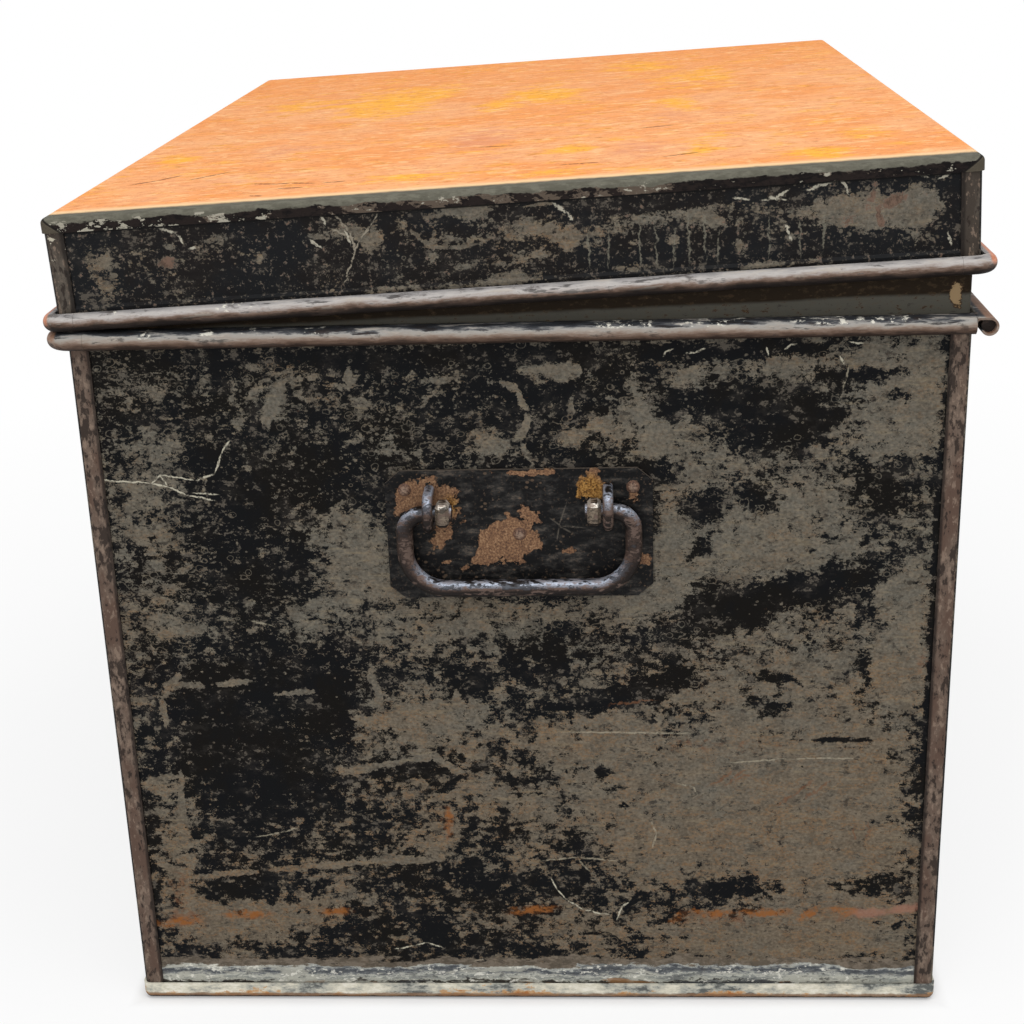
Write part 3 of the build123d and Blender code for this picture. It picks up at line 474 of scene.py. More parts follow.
def rim_finish(s, colour, where, stops, flecks):
    """Wired rim: bands round the tube with painted highlight above and shade below, streaks along, pale
    flecks where given.
    """
    streak = s.noise(3.2, 5, 0.65, (1, 6.0, 1), 31)
    patch = s.noise(9, 6, 0.72, (1, 2.4, 1), 32)
    facing = s.add(s.mul(s.nz, 0.5), 0.5, s.swing(streak, 0.9), s.swing(patch, 0.5))
    rim = s.bands(facing, *stops)
    rim = s.mix(s.ramp(streak, 0.56, 0.62, 0.0, 0.7), rim, rgb(36, 31, 29))
    # Pale streaks on the upper side only: worn metal and a painted highlight.
    rubbed_and_highlit = s.mul(s.ramp(streak, 0.36, 0.43, 0.6, 0.0), s.ramp(s.nz, -0.3, 0.5))
    rim = s.mix(rubbed_and_highlit, rim, rgb(172, 164, 154))
    rim = s.mix(s.ramp(patch, 0.56, 0.64, 0.0, 0.65), rim, rgb(50, 41, 37))
    round_tube = s.join(s.mul(s.y, -1.0), s.mul(s.nz, 10.0))
    pale = s.marks(round_tube, flecks)
    spot = s.noise(2.6, 4, 0.65, (1, 1.5, 1), 33)
    pale = s.mul(s.ramp(pale, 0.02, 0.2), s.ramp(spot, 0.55, 0.60))
    return s.mix(where, colour, s.mix(pale, rim, rgb(204, 200, 188)))


# Bands round the lid's rim, from underneath to on top: painted shade below, a painted highlight on the
# upper side.
LID_RIM = (
    (0.20, rgb(26, 21, 19)), (0.34, rgb(48, 38, 32)), (0.46, rgb(88, 71, 61)), (0.56, rgb(114, 97, 87)),
    (0.68, rgb(152, 144, 139)), (0.80, rgb(170, 165, 161)), (1.0, rgb(136, 133, 132)),
)
LID_RIM_FLECKS = [
    (-120, 7, 8, 4, 0.7), (-174, 9, 1, 3, 0.9),
]
# Bands round the body's rim: painted shade below, a painted highlight above, and at the very top painted
# shade of the gap under the lid's rim.
BODY_RIM = (
    (0.14, rgb(46, 36, 31)), (0.34, rgb(92, 74, 63)), (0.50, rgb(122, 105, 94)), (0.62, rgb(142, 133, 124)),
    (0.80, rgb(150, 147, 142)), (0.90, rgb(74, 75, 78)), (1.0, rgb(42, 44, 48)),
)
BODY_RIM_FLECKS = [
    (-163, 7, 3, 3, 0.8), (-135, 8, 3, 2, 0.8), (-116, 9, 3, 3, 0.9), (-87, 9, 4, 3, 0.9),
    (49, 9, 12, 3, 0.8), (86, 9, 14, 3, 0.8), (148, 9, 24, 3, 0.9),
]


def white_foot(s, colour):
    """Foot of the end above the tray: a grey-brown edge, then ragged bands of worn whitish zinc."""
    ragged = s.noise(9, 7, 0.72, (1, 3.0, 1), 52)
    wave = s.noise(40, 3, 0.5, (1, 2.0, 1), 54)
    crumb = s.noise(2.6, 5, 0.7, (1, 2.0, 1), 53)
    level = s.add(s.z, s.swing(wave, 9.0), s.swing(ragged, 14.0))
    place = s.ramp(s.add(level, s.swing(crumb, 9.0)), tray_top, tray_top + 12.0, smooth=False)
    foot = s.bands(
        place, (0.04, rgb(54, 50, 45)), (0.10, rgb(160, 160, 150)), (0.24, rgb(118, 121, 118)),
        (0.34, rgb(170, 170, 160)), (0.46, rgb(100, 103, 105)), (0.56, rgb(62, 65, 69)),
        (0.66, rgb(92, 95, 98)), (0.78, rgb(158, 160, 154)), (0.88, rgb(110, 108, 100)),
    )
    drift = s.noise(15, 7, 0.72, (1, 2.6, 0.5), 56)
    foot = s.mix(s.ramp(drift, 0.52, 0.58, 0.0, 0.75), foot, rgb(164, 163, 152))
    foot = s.mix(s.ramp(drift, 0.40, 0.46, 0.75, 0.0), foot, rgb(78, 80, 82))
    foot = s.mix(s.ramp(crumb, 0.57, 0.62, 0.0, 0.75), foot, rgb(214, 211, 200))
    foot = s.mix(s.ramp(crumb, 0.38, 0.43, 0.6, 0.0), foot, rgb(60, 60, 62))
    low = s.ramp(s.z, tray_top + 0.5, tray_top + 4.5, 0.05, -0.1)
    stain = s.add(s.noise(22, 5, 0.7, (1, 2.4, 0.6), 55), low)
    foot = s.mix(s.ramp(stain, 0.60, 0.66, 0.0, 0.8), foot, rgb(134, 98, 64))
    brown = s.ramp(s.add(s.z, s.swing(ragged, 22.0)), 23.0, 24.0, 0.85, 0.0)
    colour = s.mix(brown, colour, s.mix(s.ramp(crumb, 0.42, 0.58), rgb(84, 76, 66), rgb(112, 102, 90)))
    return s.mix(s.ramp(level, 18.9, 19.7, 1.0, 0.0), colour, foot)


def end_marks(s, colour, plane, shaken):
    """Stains, rust and scratches of the photographed end."""
    grains = s.noise(4, 6, 0.75, (1, 1.6, 1), 42)
    mottled = s.ramp(grains, 0.42, 0.56, 0.15, 0.85)
    stain = s.add(s.marks(plane, END_STAINS), s.swing(grains, 4.0))
    colour = s.mix(s.ramp(stain, 0.6, 1.2, 0.0, 0.55), colour, rgb(108, 74, 52))
    band = s.mul(s.ramp(s.strokes(shaken, END_RUST_LINES, 3.2), 0.05, 0.6), mottled)
    colour = s.mix(band, colour, rgb(128, 79, 38))
    salmon = s.mul(s.ramp(s.strokes(shaken, END_SALMON_LINES, 4.0), 0.05, 0.7), 0.65)
    colour = s.mix(salmon, colour, rgb(138, 98, 82))
    colour = s.drawn(colour, shaken, END_BROWN_LINES, 0.9, rgb(104, 70, 48), 0.6)
    steady = s.shaken(plane, 2.45, 2.45)
    colour = s.drawn(colour, steady, END_PALE_SCRATCHES, 0.6, rgb(146, 138, 120), 0.65)
    return s.drawn(colour, steady, END_CREAM_LINES, 0.55, rgb(178, 172, 154), 0.85)


def end_material(name, bias, shift=0.0, marked=False):
    """Painted end wall with its wired rim, and the marks of the photographed end where marked."""
    s = Surface(name)
    plane = s.end_plane()
    if marked:
        shaken = s.shaken(plane, 7.0, 7.0)
        scrapes = s.mul(s.strokes(shaken, END_SCRAPES, 2.2), 6.0)
        field = s.add(s.marks(plane, END_BARE + END_BLACK), bias, scrapes)
    else:
        wide = s.noise(110, 3, 0.5, (1, 1, 0.7), 96)
        field = s.add(s.swing(wide, 14.0), s.ramp(s.z, 20, 120, 0.8, 0.0), bias)
    bare = lost_paint(s, field, shift)
    warmth = s.ramp(s.z, 60, 260, 0.5, -0.7)
    metal_colour = rusted(s, tin(s, warmth), s.ramp(s.z, 40, 220, -0.3, -0.6), shift)
    colour = s.mix(bare, japan(s), metal_colour)
    if marked:
        colour = end_marks(s, colour, plane, shaken)
    colour = white_foot(s, colour)
    on_rim = s.outside(s.x, end_wall, *rim_out)
    colour = rim_finish(s, colour, on_rim, BODY_RIM, BODY_RIM_FLECKS if marked else [])
    return painted(s, colour, bare, 0.06)


def rust_blobs(s, colour, plane):
    """Brown blobs on the lid's end, each with a pale edge."""
    flake = s.noise(3.4, 6, 0.75, shift=44)
    blob = s.add(s.marks(plane, LID_RUST_BLOBS), s.swing(flake, 3.6))
    colour = s.mix(s.ramp(blob, 0.30, 0.36, 0.0, 0.5), colour, rgb(112, 103, 92))
    brown = s.mix(s.ramp(flake, 0.44, 0.58), rgb(70, 54, 44), rgb(102, 80, 68))
    return s.mix(s.ramp(blob, 0.46, 0.52, 0.0, 0.85), colour, brown)


def lid_end_material():
    """Painted end of the lid with its wired rim."""
    s = Surface("japanned_lid_end", True)
    plane = s.end_plane()
    shaken = s.shaken(plane, 5.6, 3.5)
    scrapes = s.mul(s.strokes(shaken, LID_SCRAPES, 1.2), 5.0)
    field = s.add(s.marks(plane, LID_BARE + LID_BLACK), scrapes, -1.5)
    bare = lost_paint(s, field, 40, 0.1)
    paint = japan(s, rgb(16, 17, 19), rgb(18, 15, 14))
    colour = s.mix(bare, paint, rusted(s, tin(s, -0.5), -1.2, 4))
    colour = s.drawn(colour, shaken, LID_DRIPS, 0.6, rgb(108, 104, 92), 0.7)
    colour = rust_blobs(s, colour, plane)
    colour = s.drawn(colour, shaken, LID_FINE_LINES, 0.6, rgb(132, 124, 110), 0.9)
    colour = s.drawn(colour, shaken, LID_CREAM_LINES, 0.75, rgb(172, 166, 150), 0.8)
    # Painted shade: a near-black line on the wall just under the folded strip's edge.
    under_fold = s.absolute(s.sub(s.z, fold_z))
    colour = s.mix(s.ramp(under_fold, 0.3, 0.8, 0.9, 0.0), colour, rgb(12, 11, 11))
    on_rim = s.outside(s.x, lid_end_wall, *rim_out)
    colour = rim_finish(s, colour, on_rim, LID_RIM, LID_RIM_FLECKS)
    return painted(s, colour, bare, 0.08)


# Blotches on the lid's top as middle x, middle y, half sizes and strength, and cracks through points x, y.
TOP_YELLOW = [
    (72, 91, 76, 34, 1.9), (110, 60, 40, 18, 1.0), (-231, 43, 16, 27, 1.6), (56, -9, 54, 26, 1.8),
    (92, -100, 60, 26, 1.2), (-177, -27, 16, 12, 1.5), (-242, -139, 16, 17, 1.9), (-162, -100, 20, 10, 1.2),
    (-123, 177, 18, 13, 1.3), (-31, -85, 37, 14, 1.4), (-208, -89, 19, 9, 1.3), (17, 20, 29, 15, 1.4),
    (185, -68, 39, 26, 1.1), (91, 148, 34, 21, 1.1), (-244, -18, 12, 22, 1.1), (-189, -165, 23, 15, 1.1),
    (-261, -67, 8, 17, 1.0),
]
TOP_DUSKY = [
    (-128, 20, 60, 22, 1.1), (-196, -62, 28, 20, 0.9), (-209, 127, 34, 31, 0.7), (-89, -78, 39, 15, 0.8),
    (-120, 120, 40, 26, 0.6),
]
TOP_CRACKS = [
    [(-218, 121), (-224, 107), (-224, 101), (-229, 89)], [(-230, 84), (-229, 75)],
    [(-238, 104), (-239, 93)], [(-253, 114), (-255, 109)], [(-196, 183), (-188, 172), (-177, 163)],
    [(-193, 155), (-176, 139)], [(-222, -70), (-215, -87)], [(-225, -23), (-225, -42)],
    [(-150, 20), (-152, 2)], [(-122, -62), (-118, -80)],
]


def edge_paint(s, down):
    """Paint of the top's folded edge: olive band, then near black with brown and grey chips."""
    edge = s.noise(3.4, 6, 0.7, (1, 2.0, 1), 75)
    patch = s.noise(12, 4, 0.65, (1, 2.0, 1), 76)
    level = s.add(down, s.swing(edge, 4.0), s.swing(patch, 6.0))
    dark = s.mix(s.ramp(edge, 0.44, 0.56), rgb(32, 26, 24), rgb(18, 15, 15))
    aside = s.ramp(s.absolute(s.y), 40, 110, 0.15, -0.45)
    worn = s.add(s.swing(patch, -6.0), s.swing(edge, 5.0), aside)
    dark = s.mix(s.ramp(worn, 0.1, 0.22, 0.0, 0.85), dark, rgb(88, 77, 67))
    olive = s.mix(s.ramp(edge, 0.4, 0.6), rgb(86, 84, 74), rgb(102, 100, 89))
    strip = s.mix(s.ramp(level, 2.3, 2.8, 1.0, 0.0), dark, olive)
    frontward = s.ramp(s.y, 60, 170, -0.9, -0.2)
    chips = s.add(s.swing(edge, 9.0), s.swing(patch, -4.0), frontward)
    chipped = s.mul(s.ramp(chips, 0.20, 0.32, 0.0, 0.9), s.ramp(down, 1.2, 1.9))
    return s.mix(chipped, strip, rgb(154, 149, 135))


def top_edge(s, colour):
    """The top's rim: a pale line of painted highlight, then the folded edge's paint, mitred at the corners.
    """
    down = s.sub(lid_top, s.z)
    strip = edge_paint(s, down)
    corner = s.sub(s.sub(lid_wall_y, s.absolute(s.y)), s.mul(down, 1.3))
    strip = s.mix(s.ramp(corner, -0.3, 0.1, 1.0, 0.0), strip, rgb(74, 68, 58))
    strip = s.mix(s.ramp(s.absolute(corner), 0.5, 1.0, 0.9, 0.0), strip, rgb(20, 18, 17))
    rag = s.swing(s.noise(4, 6, 0.72, (1, 2.0, 1), 79), 6.0)
    outward = s.add(s.mul(s.x, -1.0), rag)
    over = s.add(down, s.mul(rag, 0.1))
    # Painted highlight: a pale line along the rounded edge of the top.
    pale = s.most(s.ramp(outward, 256.0, 264.0), s.ramp(over, 0.4, 1.0))
    colour = s.mix(pale, colour, rgb(236, 196, 150))
    return s.mix(s.most(s.ramp(outward, 264.5, 270.0), s.ramp(over, 1.2, 1.7)), colour, strip)


def top_inside(s, pale, broad, dark):
    """Inside of the lid's top: dull brown-black paint, mottled, with a little rust."""
    inside = s.mix(s.ramp(s.add(pale, s.mul(broad, 0.6)), 0.70, 0.92), rgb(52, 45, 36), rgb(84, 76, 62))
    return s.mix(s.ramp(dark, 0.54, 0.62, 0.0, 0.7), inside, rgb(104, 72, 46))


def orange_top():
    """Lid top covered in orange rust with yellow blotches, fine wrinkles partly drawn as painted highlight
    and shade, and its dark edge.
    """
    s = Surface("rusted_lid_top", True)
    plane = s.join(s.x, s.y)
    broad = s.noise(60, 5, 0.65, (0.9, 1.3, 1), 71)
    streak = s.noise(16, 6, 0.7, (1, 1.8, 1), 72)
    fine = s.noise(5.0, 5, 0.7, (0.9, 2.4, 1), 73)
    colour = s.mix(s.ramp(broad, 0.38, 0.62), rgb(236, 156, 94), rgb(237, 171, 120))
    back = s.add(s.mul(s.x, 0.004), s.swing(broad, 2.0))
    colour = s.mix(s.ramp(back, 0.1, 1.1, 0.0, 0.6), colour, rgb(240, 154, 86))
    ragged = s.add(s.swing(streak, 5.0), s.swing(fine, 3.0))
    yellow = s.add(s.marks(plane, TOP_YELLOW), ragged, -0.5)
    colour = s.mix(s.ramp(yellow, -0.4, 0.8, 0.0, 0.9), colour, rgb(246, 176, 60))
    dusky = s.add(s.marks(plane, TOP_DUSKY), s.mul(ragged, -0.8), -0.3)
    colour = s.mix(s.ramp(dusky, 0.0, 0.9, 0.0, 0.6), colour, rgb(216, 146, 114))
    ridge = s.absolute(s.sub(s.noise(9, 5, 0.68, (0.8, 2.4, 1), 78), 0.5))
    colour = s.mix(s.ramp(ridge, 0.0, 0.03, 0.6, 0.0), colour, rgb(206, 124, 76))
    # Pale flecks and dark dashes: rust mottle, partly a painted highlight and painted shade of the fine
    # wrinkles.
    pale = s.noise(6, 6, 0.74, (0.8, 2.2, 1), 74)
    colour = s.mix(s.ramp(pale, 0.54, 0.62, 0.0, 0.6), colour, rgb(248, 204, 152))
    dark = s.add(fine, s.swing(streak, 0.3))
    colour = s.mix(s.ramp(dark, 0.58, 0.68, 0.0, 0.55), colour, rgb(184, 106, 62))
    colour = s.drawn(colour, plane, TOP_CRACKS, 1.6, rgb(120, 66, 38), 0.9)
    colour = top_edge(s, colour)
    colour = s.mix(s.ramp(s.nz, -0.6, -0.5, 1.0, 0.0), colour, top_inside(s, pale, broad, dark))
    height = s.add(s.mul(fine, 1.2), s.mul(streak, 1.0), s.mul(s.noise(1.4, 3, 0.7, (1, 1.4, 1), 77), 0.4))
    return s.finish(colour, 0.85, s.bump(height, 0.9), specular=0.1)


def corner_wrap(s, on_lid, grain, broad):
    """Strip of a long side's sheet folded round onto the end: brown and speckled, with painted shade at its
    inner edge.
    """
    if on_lid:
        dull, worn, width = rgb(58, 51, 45), rgb(84, 77, 69), 6.5
    else:
        dull, worn, width = rgb(82, 65, 56), rgb(98, 84, 74), 9.5
    wrap = s.mix(s.ramp(broad, 0.4, 0.6), dull, worn)
    spotted = s.add(grain, s.swing(broad, 0.6))
    wrap = s.mix(s.ramp(spotted, 0.53, 0.60, 0.0, 0.85), wrap, rgb(36, 29, 26))
    wrap = s.mix(s.ramp(grain, 0.38, 0.44, 0.55, 0.0), wrap, rgb(132, 114, 100))
    # Painted shade along the strip's inner edge, where it stands proud.
    edge = wall_y - width
    shade = s.ramp(s.absolute(s.y), edge + 0.6, edge + 2.0, 0.8, 0.0)
    return s.mix(shade, wrap, rgb(24, 20, 18))


def corner_chips(s, colour, wrapped):
    """Pale chips high on the lid's corners, more of them on the back one."""
    chips = s.add(s.swing(s.noise(5, 5, 0.75, shift=94), 8.0), s.ramp(s.z, 380, 388, -1.8, -0.1))
    backward = s.ramp(s.y, -100, 100, -1.2, -0.4)
    chips = s.mul(s.ramp(s.add(chips, backward), 0.2, 0.35), wrapped)
    return s.mix(chips, colour, rgb(172, 165, 148))


def salmon_rim(s, colour, on_rim, outer, broad, rust):
    """Salmon colour on the upper side of a long side's rim, thickest near the photographed end."""
    upward = s.add(s.nz, s.swing(broad, 2.0))
    near = s.ramp(s.x, -268, -225, 1.0, 0.45)
    nearer = s.ramp(s.add(s.x, s.mul(broad, 240.0)), -150, -90, 1.0, 0.3)
    rusty = s.mul(s.outside(s.y, outer, 2.5, 4.0), s.ramp(upward, -0.1, 0.5), on_rim, near, nearer, 0.75)
    return s.mix(rusty, colour, rust)


def seam_material(name, on_lid=False):
    """Front and back sheets: japanned outside, brown and speckled where they wrap the corner."""
    s = Surface(name, on_lid)
    wide = s.noise(120, 3, 0.5, (1, 1, 0.7), 95)
    worn = s.add(s.swing(wide, 14.0), s.ramp(s.z, 0, 80, 1.0, 0.0), -1.3)
    colour = s.mix(lost_paint(s, worn, 90), japan(s), rusted(s, tin(s), s.ramp(s.z, 0, 90, 0.4, -0.6), 5))
    grain = s.noise(3.0, 5, 0.7, (1, 1, 2.0), 91)
    broad = s.noise(14, 5, 0.65, (1, 1, 2.4), 92)
    wall, outer = (lid_end_wall, lid_wall_y) if on_lid else (end_wall, wall_y)
    wrapped = s.outside(s.x, wall, 0.3, 0.6)
    colour = s.mix(wrapped, colour, corner_wrap(s, on_lid, grain, broad))
    if on_lid:
        colour = corner_chips(s, colour, wrapped)
        level = s.ramp(s.z, lid_rim_top - 0.3, lid_rim_top + 0.3, 1.0, 0.0)
        bands, rust = LID_RIM, rgb(204, 128, 92)
    else:
        level = s.ramp(s.z, body_rim_foot - 0.3, body_rim_foot + 0.3)
        bands, rust = BODY_RIM, rgb(142, 106, 84)
    on_rim = s.mul(level, s.most(s.outside(s.y, outer, 1.3, 1.8), s.outside(s.x, wall, *rim_out)))
    colour = rim_finish(s, colour, on_rim, bands, [])
    colour = salmon_rim(s, colour, on_rim, outer, broad, rust)
    return s.finish(colour, 0.6, s.bump(grain, 0.12), specular=0.1)


def bottom_inside(s, patch, value):
    """Inside of the bottom: dull brown-black paint, worn to brown and grey."""
    floor = s.mix(s.ramp(patch, 0.42, 0.60), rgb(30, 26, 22), rgb(58, 51, 43))
    floor = s.mix(s.ramp(value, 0.54, 0.62, 0.0, 0.8), floor, rgb(104, 82, 60))
    return s.mix(s.ramp(value, 0.40, 0.46, 0.7, 0.0), floor, rgb(92, 88, 80))


def strip_material():
    """Bottom tray: cream and blue-grey worn zinc, rusty low down, with a dark lower edge of painted contact
    shade.
    """
    s = Surface("worn_tray_edge")
    patch = s.noise(14, 6, 0.72, (2, 2, 0.6), 101)
    fine = s.noise(3.2, 5, 0.7, (1.6, 1.6, 0.9), 102)
    value = s.add(patch, s.swing(fine, 0.5))
    colour = s.bands(
        value, (0.36, rgb(88, 90, 88)), (0.42, rgb(146, 147, 140)), (0.49, rgb(178, 175, 162)),
        (0.56, rgb(200, 195, 178)), (0.66, rgb(216, 212, 199)),
    )
    rust = s.add(s.noise(20, 6, 0.72, (1.5, 1.5, 0.6), 103), s.swing(fine, 0.5))
    rust = s.add(rust, s.ramp(s.z, 1.0, 8.5, 0.10, -0.10, smooth=False))
    colour = s.mix(s.ramp(rust, 0.52, 0.58, 0.0, 0.85), colour, rgb(176, 134, 88))
    colour = s.mix(s.ramp(rust, 0.59, 0.65, 0.0, 0.85), colour, rgb(152, 92, 46))
    foot = s.add(s.z, s.swing(fine, 3.0))
    colour = s.mix(s.ramp(foot, 3.4, 4.6, 0.85, 0.0), colour, rgb(124, 94, 70))
    # Painted shade: the lowest millimetres darkened as contact shade against the floor.
    colour = s.mix(s.ramp(foot, 1.8, 2.7, 0.95, 0.0), colour, rgb(34, 29, 26))
    walls = s.most(s.outside(s.x, end_wall, -2.0, -1.5), s.outside(s.y, wall_y, -3.0, -2.5))
    colour = s.mix(walls, bottom_inside(s, patch, value), colour)
    return s.finish(colour, 0.7, s.bump(fine, 0.2), specular=0.1)


NECK_CHIP = [(192, 361, 3, 6, 1.3, 8)]


def neck_material():
    """Inner upstand: dark olive brown above a sloping line, as painted shade of the lid, and grey-green
    below.
    """
    s = Surface("neck_tin")
    fine = s.noise(2.2, 5, 0.75, (2, 2, 1), 111)
    broad = s.noise(22, 4, 0.6, (2, 2, 1), 112)
    # Painted shade of the lid: its edge rises towards the front.
    shade_foot, shade_slope = rim_z - 2.2, 0.0262
    shade_line = s.add(shade_foot, s.mul(s.sub(hinge_point[1], s.y), shade_slope))
    level = s.add(s.sub(s.z, shade_line), s.swing(broad, 3.0))
    colour = s.mix(s.ramp(level, -1.0, 1.0), rgb(75, 73, 66), rgb(34, 26, 17))
    colour = s.mix(s.ramp(fine, 0.52, 0.70, 0.0, 0.6), colour, rgb(84, 70, 52))
    colour = s.mix(s.ramp(fine, 0.30, 0.42, 0.6, 0.0), colour, rgb(34, 29, 24))
    chip = s.add(s.marks(s.end_plane(), NECK_CHIP), s.swing(fine, 2.4))
    colour = s.mix(s.ramp(chip, 0.25, 0.35), colour, rgb(54, 40, 28))
    colour = s.mix(s.ramp(chip, 0.42, 0.55), colour, rgb(140, 118, 88))
    return s.finish(colour, 0.6, s.bump(fine, 0.1), specular=0.06)


# Marks on the handle plates, as on the end.
PLATE_CHIPS = [
    (-44, 276, 12, 7, 2.8), (-48, 267, 10, 9, 3.0), (-33, 265, 9, 11, 2.8), (-37, 252, 6, 6, 2.6),
    (0, 255, 12, 10, 2.9), (-6, 247, 12, 10, 3.0), (-5, 257, 5, 4, 2.0), (-18, 241, 8, 4, 2.4, 30),
    (-15, 252, 5, 8, 2.2, -20), (2, 266, 3, 4, 2.4), (-34, 240, 3, 2, 2.2), (-26, 237, 2, 2, 2.2),
    (22, 245, 5, 2, 2.8), (33, 275, 8, 9, 3.6), (53, 272, 5, 6, 1.8), (56, 240, 5, 4, 3.0),
    (4, 283, 17, 2, 2.6), (43, 240, 3, 2, 2.0),
]
PLATE_OCHRE = [
    (32, 273, 9, 11, 1.0), (-31, 268, 6, 8, 0.6),
]
PLATE_SCRATCHES = [
    [(22, 269), (18, 257), (25, 253)], [(14, 261), (19, 257), (30, 256)], [(18, 256), (17, 250)],
]


def plate_rust(s, plane, grain):
    """Rust of the handle plate: brown, and ochre in two places."""
    tint = s.add(s.mul(grain, 0.65), s.mul(s.noise(4, 5, 0.75, shift=124), 0.35))
    brown = s.bands(
        tint, (0.37, rgb(70, 52, 41)), (0.46, rgb(100, 74, 57)), (0.53, rgb(118, 89, 66)),
        (0.62, rgb(142, 113, 87)),
    )
    ochre = s.bands(tint, (0.40, rgb(62, 42, 20)), (0.50, rgb(128, 90, 40)), (0.60, rgb(166, 128, 70)))
    return s.mix(s.ramp(s.marks(plane, PLATE_OCHRE), 0.2, 0.6, 0.0, 0.85), brown, ochre)


def plate_paint(s):
    """Black paint of the handle plate: hazy and speckled, with a worn upper edge."""
    haze = s.noise(6, 6, 0.72, (1, 2.5, 1), 123)
    paint = s.mix(s.ramp(haze, 0.46, 0.62, 0.0, 0.7), rgb(10, 10, 11), rgb(50, 48, 46))
    paint = s.mix(s.ramp(haze, 0.58, 0.64, 0.0, 0.6), paint, rgb(82, 74, 66))
    speck = s.noise(1.6, 4, 0.7, shift=127)
    paint = s.mix(s.ramp(speck, 0.58, 0.66, 0.0, 0.5), paint, rgb(84, 70, 58))
    gathered = s.ramp(s.noise(11, 4, 0.6, shift=126), 0.46, 0.62, 0.0, 0.5)
    paint = s.mix(s.mul(s.dots(2.6, gathered, (1, 1.2, 0.9), 125), 0.6), paint, rgb(92, 76, 62))
    return s.mix(s.ramp(s.nz, 0.2, 0.6), paint, rgb(84, 76, 68))


def plate_material():
    """Handle plate: black paint chipped to rust."""
    s = Surface("handle_plate_paint")
    plane = s.end_plane()
    ragged = s.noise(7, 6, 0.68, shift=121)
    value = s.add(s.swing(ragged, 7.0), s.marks(plane, PLATE_CHIPS, 1.4), -1.5)
    bare = s.ramp(value, -0.06, 0.08)
    grain = s.noise(1.0, 3, 0.62, shift=122)
    colour = s.mix(bare, plate_paint(s), plate_rust(s, plane, grain))
    colour = s.drawn(colour, plane, PLATE_SCRATCHES, 0.5, rgb(86, 80, 72), 0.6)
    height = s.add(s.mul(s.sub(1.0, bare), 0.3), s.mul(bare, grain, 0.12))
    return s.finish(colour, s.ramp(bare, 0, 1, 0.42, 0.85), s.bump(height, 1.0), specular=0.1)


def iron_material(
    name, dark=rgb(32, 25, 22), middle=rgb(74, 59, 52), light=rgb(162, 170, 184), shine=0.44, bright=0.42,
):
    """Forged iron: flakes of black scale over brown, with painted highlight and shade, and bare metal on
    top.
    """
    s = Surface(name)
    grain = s.noise(1.9, 3, 0.6, (1, 2.2, 1), 131)
    broad = s.noise(9, 5, 0.68, (1, 2.4, 1), 132)
    painted_light_and_wear = s.add(s.nz, s.swing(broad, 1.3), s.swing(grain, 1.4))
    # Painted light: a highlight band where the upper side faces the light, painted shade below it and along
    # the very top.
    colour = s.bands(
        s.math("MULTIPLY_ADD", painted_light_and_wear, 0.4, 0.5), (0.15, rgb(18, 15, 14)), (0.44, dark), (0.56, middle),
        (0.71, halfway(middle, light)), (0.77, light), (0.84, halfway(middle, light)), (0.92, dark),
    )
    scale = s.add(grain, s.swing(broad, 1.2))
    colour = s.mix(s.ramp(scale, 0.52, 0.57, 0.0, 0.8), colour, rgb(22, 18, 17))
    colour = s.mix(s.ramp(scale, 0.36, 0.43, 0.45, 0.0), colour, rgb(122, 102, 92))
    metal = s.mul(s.ramp(painted_light_and_wear, 0.45, 0.62, 0.0, bright), s.ramp(scale, 0.50, 0.55, 1.0, 0.0))
    return s.finish(colour, shine, s.bump(s.add(grain, broad), 0.35), metal, 0.12)


def rivet_material():
    """Rusty plate rivets, lighter on the crown of each head."""
    s = Surface("rusty_rivets")
    grain = s.noise(1.0, 5, 0.75, shift=135)
    worn = s.add(s.absolute(s.nx), s.swing(grain, 1.4))
    colour = s.mix(s.ramp(grain, 0.4, 0.6), rgb(70, 52, 44), rgb(112, 84, 68))
    colour = s.mix(s.ramp(worn, 0.75, 1.1, 0.0, 0.7), colour, rgb(140, 120, 104))
    return s.finish(colour, 0.6, s.bump(grain, 0.3), specular=0.2)


def brass_material():
    """Dull, darkened brass of the escutcheon."""
    s = Surface("aged_brass")
    grain = s.noise(2.0, 5, 0.7, shift=141)
    colour = s.mix(s.ramp(grain, 0.35, 0.65), rgb(122, 92, 48), rgb(176, 142, 80))
    return s.finish(colour, 0.42, s.bump(grain, 0.1), 0.85)


def dress():
    """Gives each CAD node the first finish here whose list holds the start of its name."""
    finishes = [
        ("body_left_end", end_material("japanned_end_left", -0.52, marked=True)),
        ("body_right_end", end_material("japanned_end_right", -0.9, shift=200)),
        (("lid_left_end", "lid_right_end"), lid_end_material()),
        ("lid_top", orange_top()),
        (("lid_catch", "lock_"), iron_material(
            "lock_iron", rgb(56, 52, 49), rgb(84, 79, 75), rgb(124, 118, 112), 0.5, 0.6)),
        (("lid_wire", "body_wire"), iron_material(
            "iron_wire", rgb(40, 32, 29), rgb(64, 52, 46), rgb(96, 84, 76), 0.6, 0.4)),
        ("hinge_", iron_material(
            "hinge_iron", rgb(36, 31, 29), rgb(58, 50, 46), rgb(96, 88, 82), 0.6, 0.4)),
        (("handle_left_bail_knobs", "handle_right_bail_knobs"), iron_material(
            "knob_iron", rgb(70, 60, 52), rgb(136, 122, 106), rgb(206, 200, 190), 0.4, 0.5)),
        ("lid_", seam_material("japanned_sheet_lid", True)),
        ("body_", seam_material("japanned_sheet_body")),
        ("bottom_panel", strip_material()),
        ("neck_collar", neck_material()),
        (("handle_left_rivets", "handle_right_rivets"), rivet_material()),
        (("handle_left_plate", "handle_right_plate"), plate_material()),
        ("handle_", iron_material("forged_iron")),
        ("escutcheon", brass_material()),
    ]
    for name, piece in nodes.items():
        finish = next(material for starts, material in finishes if name.startswith(starts))
        piece.data.materials.clear()
        piece.data.materials.append(finish)


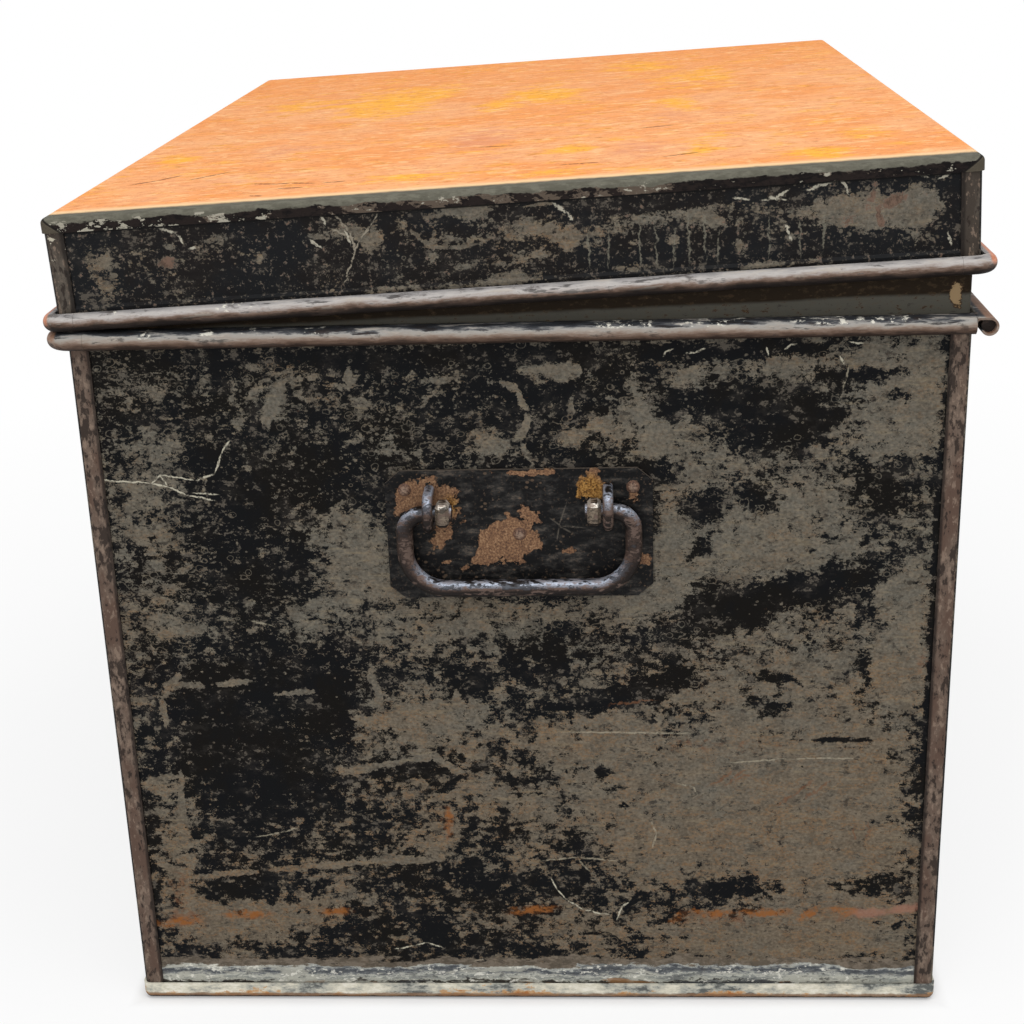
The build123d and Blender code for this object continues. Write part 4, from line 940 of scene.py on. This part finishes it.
def floor_material():
    """Pale floor that keeps the shadow near the box and passes into the white backdrop further off."""
    floor_shade = 0.86
    contact_width, contact_glow = 0.008, 0.25
    shadow_start, shadow_stop, shadow_glow = 0.35, 1.0, 0.78
    mat = bpy.data.materials.new("floor_white")
    mat.use_nodes = True
    s = Nodes(mat.node_tree)
    s.tree.nodes.clear()
    out = s.tree.nodes.new("ShaderNodeOutputMaterial")
    shaded = s.tree.nodes.new("ShaderNodeBsdfDiffuse")
    s.put(shaded.inputs["Color"], (floor_shade, floor_shade, floor_shade))
    glow = s.tree.nodes.new("ShaderNodeEmission")
    s.put(glow.inputs["Strength"], 1.0)
    place = s.tree.nodes.new("ShaderNodeTexCoord").outputs["Object"]
    x, y = s.split(place)[:2]
    beside_end = s.sub(s.absolute(x), tray_x / PER_METRE)
    beside_wall = s.sub(s.absolute(y), tray_y / PER_METRE)
    contact = s.ramp(s.most(beside_end, beside_wall), 0.0, contact_width, contact_glow, 1.0)
    away = s.vector("LENGTH", place)
    far = s.ramp(away, shadow_start, shadow_stop, shadow_glow, 1.0, smooth=False)
    blend = s.tree.nodes.new("ShaderNodeMixShader")
    s.put(blend.inputs[0], s.mul(s.seen_directly(), contact, far))
    s.put(blend.inputs[1], shaded.outputs[0])
    s.put(blend.inputs[2], glow.outputs[0])
    s.put(out.inputs[0], blend.outputs[0])
    return mat


def stage():
    """Floor far larger than the view."""
    half = 30.0
    mesh = bpy.data.meshes.new("floor")
    corners = [(-half, -half, 0), (half, -half, 0), (half, half, 0), (-half, half, 0)]
    mesh.from_pydata(corners, [], [(0, 1, 2, 3)])
    floor = bpy.data.objects.new("floor", mesh)
    bpy.context.scene.collection.objects.link(floor)
    mesh.materials.append(floor_material())


def lamp(name, place, target, size, power):
    """Rectangular lamp that faces its target. Lengths are in metres, the power in watts."""
    light = bpy.data.lights.new(name, "AREA")
    light.shape = "RECTANGLE"
    light.size, light.size_y = size
    light.energy = power
    lamp_object = bpy.data.objects.new(name, light)
    bpy.context.scene.collection.objects.link(lamp_object)
    lamp_object.location = place
    aim = Vector(target) - Vector(place)
    lamp_object.rotation_euler = aim.to_track_quat("-Z", "Y").to_euler()


def lights():
    """White surroundings, a large lamp above and a smaller one before the photographed end."""
    surrounding_light = 0.5
    world = bpy.data.worlds.new("studio")
    world.use_nodes = True
    bpy.context.scene.world = world
    s = Nodes(world.node_tree)
    ground = s.tree.nodes["Background"]
    s.put(ground.inputs["Color"], (1.0, 1.0, 1.0))
    strength = s.ramp(s.seen_directly(), 0.0, 1.0, surrounding_light, 1.0, smooth=False)
    s.put(ground.inputs["Strength"], strength)
    lamp("key_above", (-0.9, -0.3, 2.6), (0, 0, 0.2), (2.6, 2.6), 52)
    lamp("fill_front", (-2.8, 0.6, 1.2), (-0.2, 0, 0.2), (2.2, 1.6), 26)


def camera():
    """Camera of the photograph, with its lens set for a square frame."""
    frame_pixels = 1024.0
    focal_pixels = 1730.0
    sensor = 36.0
    place = Vector((-1.0166, -0.04015, 0.53449))
    yaw, pitch, roll = (math.radians(value) for value in (3.35, 20.01, -1.909))
    ahead = Vector((math.cos(pitch) * math.cos(yaw), math.cos(pitch) * math.sin(yaw), -math.sin(pitch)))
    level = Vector((math.sin(yaw), -math.cos(yaw), 0))
    upright = level.cross(ahead)
    right = level * math.cos(roll) + upright * math.sin(roll)
    up = upright * math.cos(roll) - level * math.sin(roll)
    lens = bpy.data.cameras.new("photo_camera")
    lens.sensor_width = sensor
    lens.lens = focal_pixels / frame_pixels * sensor
    view = bpy.data.objects.new("photo_camera", lens)
    view.matrix_world = Matrix((
        (right.x, up.x, -ahead.x, place.x),
        (right.y, up.y, -ahead.y, place.y),
        (right.z, up.z, -ahead.z, place.z),
        (0, 0, 0, 1),
    ))
    bpy.context.scene.collection.objects.link(view)
    bpy.context.scene.camera = view


dress()
stage()
lights()
camera()
bpy.context.scene.view_settings.view_transform = "Standard"
